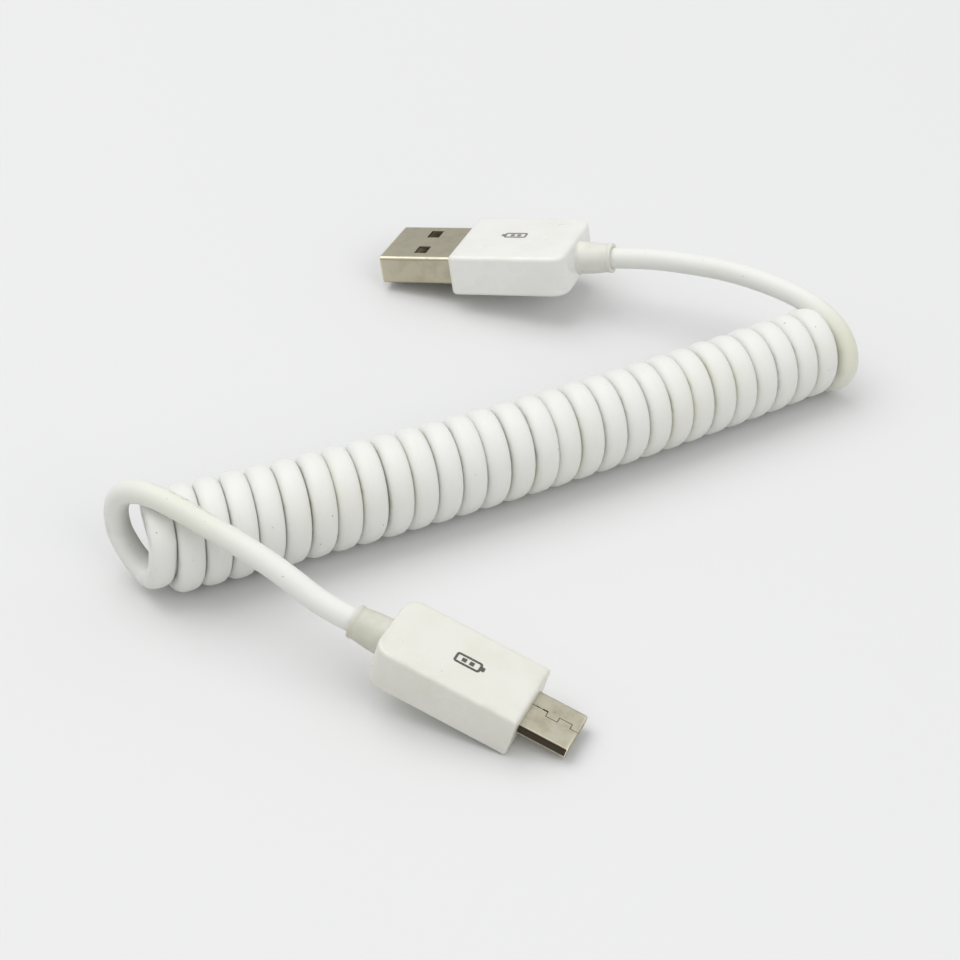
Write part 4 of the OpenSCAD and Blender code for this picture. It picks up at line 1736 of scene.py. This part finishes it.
@dataclass
class Studio:
    """A pale floor under soft light, and the camera.

    Attributes:
        eye: Where the camera stands, in millimetres.
        down: How far it looks down, in degrees.
        roll: How far it leans, in degrees.
        lens: Its focal length for a 36 mm sensor.
    """

    eye: Vector
    down: float
    roll: float
    lens: float

    def camera(self) -> bpy.types.Object:
        """Makes the camera and makes it the scene's.

        Returns:
            The camera's object.
        """
        data = bpy.data.cameras.new("Camera")
        data.lens = self.lens
        data.sensor_width = 36.0
        data.clip_start, data.clip_end = 0.01, 50.0
        camera = new_object("Camera", data)
        camera.location = self.eye * MM
        look = Matrix.Rotation(math.radians(90.0 - self.down), 3, "X")
        camera.rotation_euler = (look @ Matrix.Rotation(math.radians(self.roll), 3, "Z")).to_euler()
        bpy.context.scene.camera = camera
        return camera

    def floor(self) -> bpy.types.Object:
        """Makes the floor.

        Returns:
            The floor's object.
        """
        mesh = block((-3.0, -3.0, -0.02), (3.0, 3.0, 0.0), "floor")
        floor = new_object("floor", mesh)
        s = Shade.named("Pale floor")
        mottle = s.noise(s.place(), 3.0, 2.0).band(0.3, 0.7)
        colour = s.mix(mottle, (0.695, 0.697, 0.697), (0.705, 0.706, 0.706))
        dress(floor, s.surface(Base_Color=colour, Roughness=0.8, Specular_IOR_Level=0.2))
        floor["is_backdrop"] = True
        return floor

    def light(self) -> None:
        """Sets the room light and the lamps."""
        scene = bpy.context.scene
        scene.view_settings.view_transform = "Standard"
        scene.world = bpy.data.worlds.new("Room light")
        s = Shade(scene.world)
        _, depth, up = s.parts(s.value("ShaderNodeTexCoord", {}, {}, "Generated"))
        colour = s.mix(up.band(0.0, 0.8), (0.5, 0.5, 0.49), (0.86, 0.87, 0.88))
        low = up.band(0.55, 0.1) * depth.band(0.0, -0.9)
        colour = s.mix(low * 0.45, colour, (0.16, 0.13, 0.1))
        sky = s.node("ShaderNodeBackground", {}, {"Color": colour, "Strength": 1.0})
        s.node("ShaderNodeOutputWorld", {}, {"Surface": Val(s, sky.outputs[0])})
        Lamp("Key", (-0.46, 0.28, 1.18), 1.3, 7.7, (1.0, 0.99, 0.975)).build()
        Lamp("Fill", (0.8, -0.9, 0.8), 1.0, 3.8, (1.0, 0.985, 0.965)).build()


# ---------------------------------------------------------------- putting it together


# Each lead's way from its plug's collar to the coil, in millimetres.
FIRST_LEAD = [(-17.6, -42.6, 9.3), (-19.8, -41.6, 9.9), (-22.4, -40.2, 10.7), (-25.3, -38.3, 11.9),
              (-28.1, -36.4, 12.9), (-31.0, -34.5, 13.7), (-34.0, -32.6, 14.4), (-37.0, -30.7, 15.0),
              (-40.5, -28.5, 15.7), (-44.0, -26.2, 15.9), (-46.6, -24.4, 15.2), (-48.5, -23.1, 13.8),
              (-49.5, -22.5, 11.8), (-49.8, -22.3, 9.5), (-49.5, -22.5, 7.0), (-48.5, -23.3, 4.6),
              (-47.0, -24.5, 3.2)]
LAST_LEAD = [(18.2, 41.1, 9.35), (21.2, 40.1, 9.95), (24.7, 38.9, 10.5), (29.0, 37.1, 11.0),
             (33.5, 34.7, 11.6), (37.5, 31.9, 12.1), (41.5, 28.6, 12.4), (45.0, 25.5, 12.3),
             (47.9, 22.7, 11.5), (50.0, 20.4, 9.9), (51.1, 18.7, 7.5), (51.0, 17.9, 5.0),
             (49.9, 18.4, 2.9)]


def dress_nodes(looks: dict[str, bpy.types.Material]) -> None:
    """Gives every node that the model brings its finish.

    Args:
        looks: Material slot to material.
    """
    for part in frame["record"]["subparts"]:
        node = frame["nodes"][part["node"]]
        node.data.materials.clear()
        node.data.materials.append(looks.get(part["node"], looks[part["material_slot"]]))
        LOG.info("%s: %s", part["node"], node.data.materials[0].name)


def corners(box: tuple[Vector, Vector]) -> list[list[float]]:
    """A box's two corners as plain lists."""
    return [list(box[0]), list(box[1])]


def main(solid_box: list[list[float]]) -> None:
    """Builds the scene.

    Args:
        solid_box: The model's box before anything was added; not used.
    """
    logging.basicConfig(level=logging.INFO, format="%(message)s")
    studio = Studio(eye=Vector((-2.2, -257.1, 199.2)), down=38.0, roll=0.3, lens=86.4)
    studio.camera()
    host, phone = host_plug(), phone_plug()
    # Points behind the host shell's windows, around which shade is painted.
    looks = finishes(tuple(host.placement.point(x, y) for x, y in WINDOWS))
    for plug in (host, phone):
        plug.build(looks)
    Cord(Coil(), FIRST_LEAD, LAST_LEAD).build(phone, host, looks["cord_jacket"])
    dress_nodes(looks)
    studio.floor()
    studio.light()
    LOG.info("done")


if __name__ == "__main__":
    main(corners(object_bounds()))
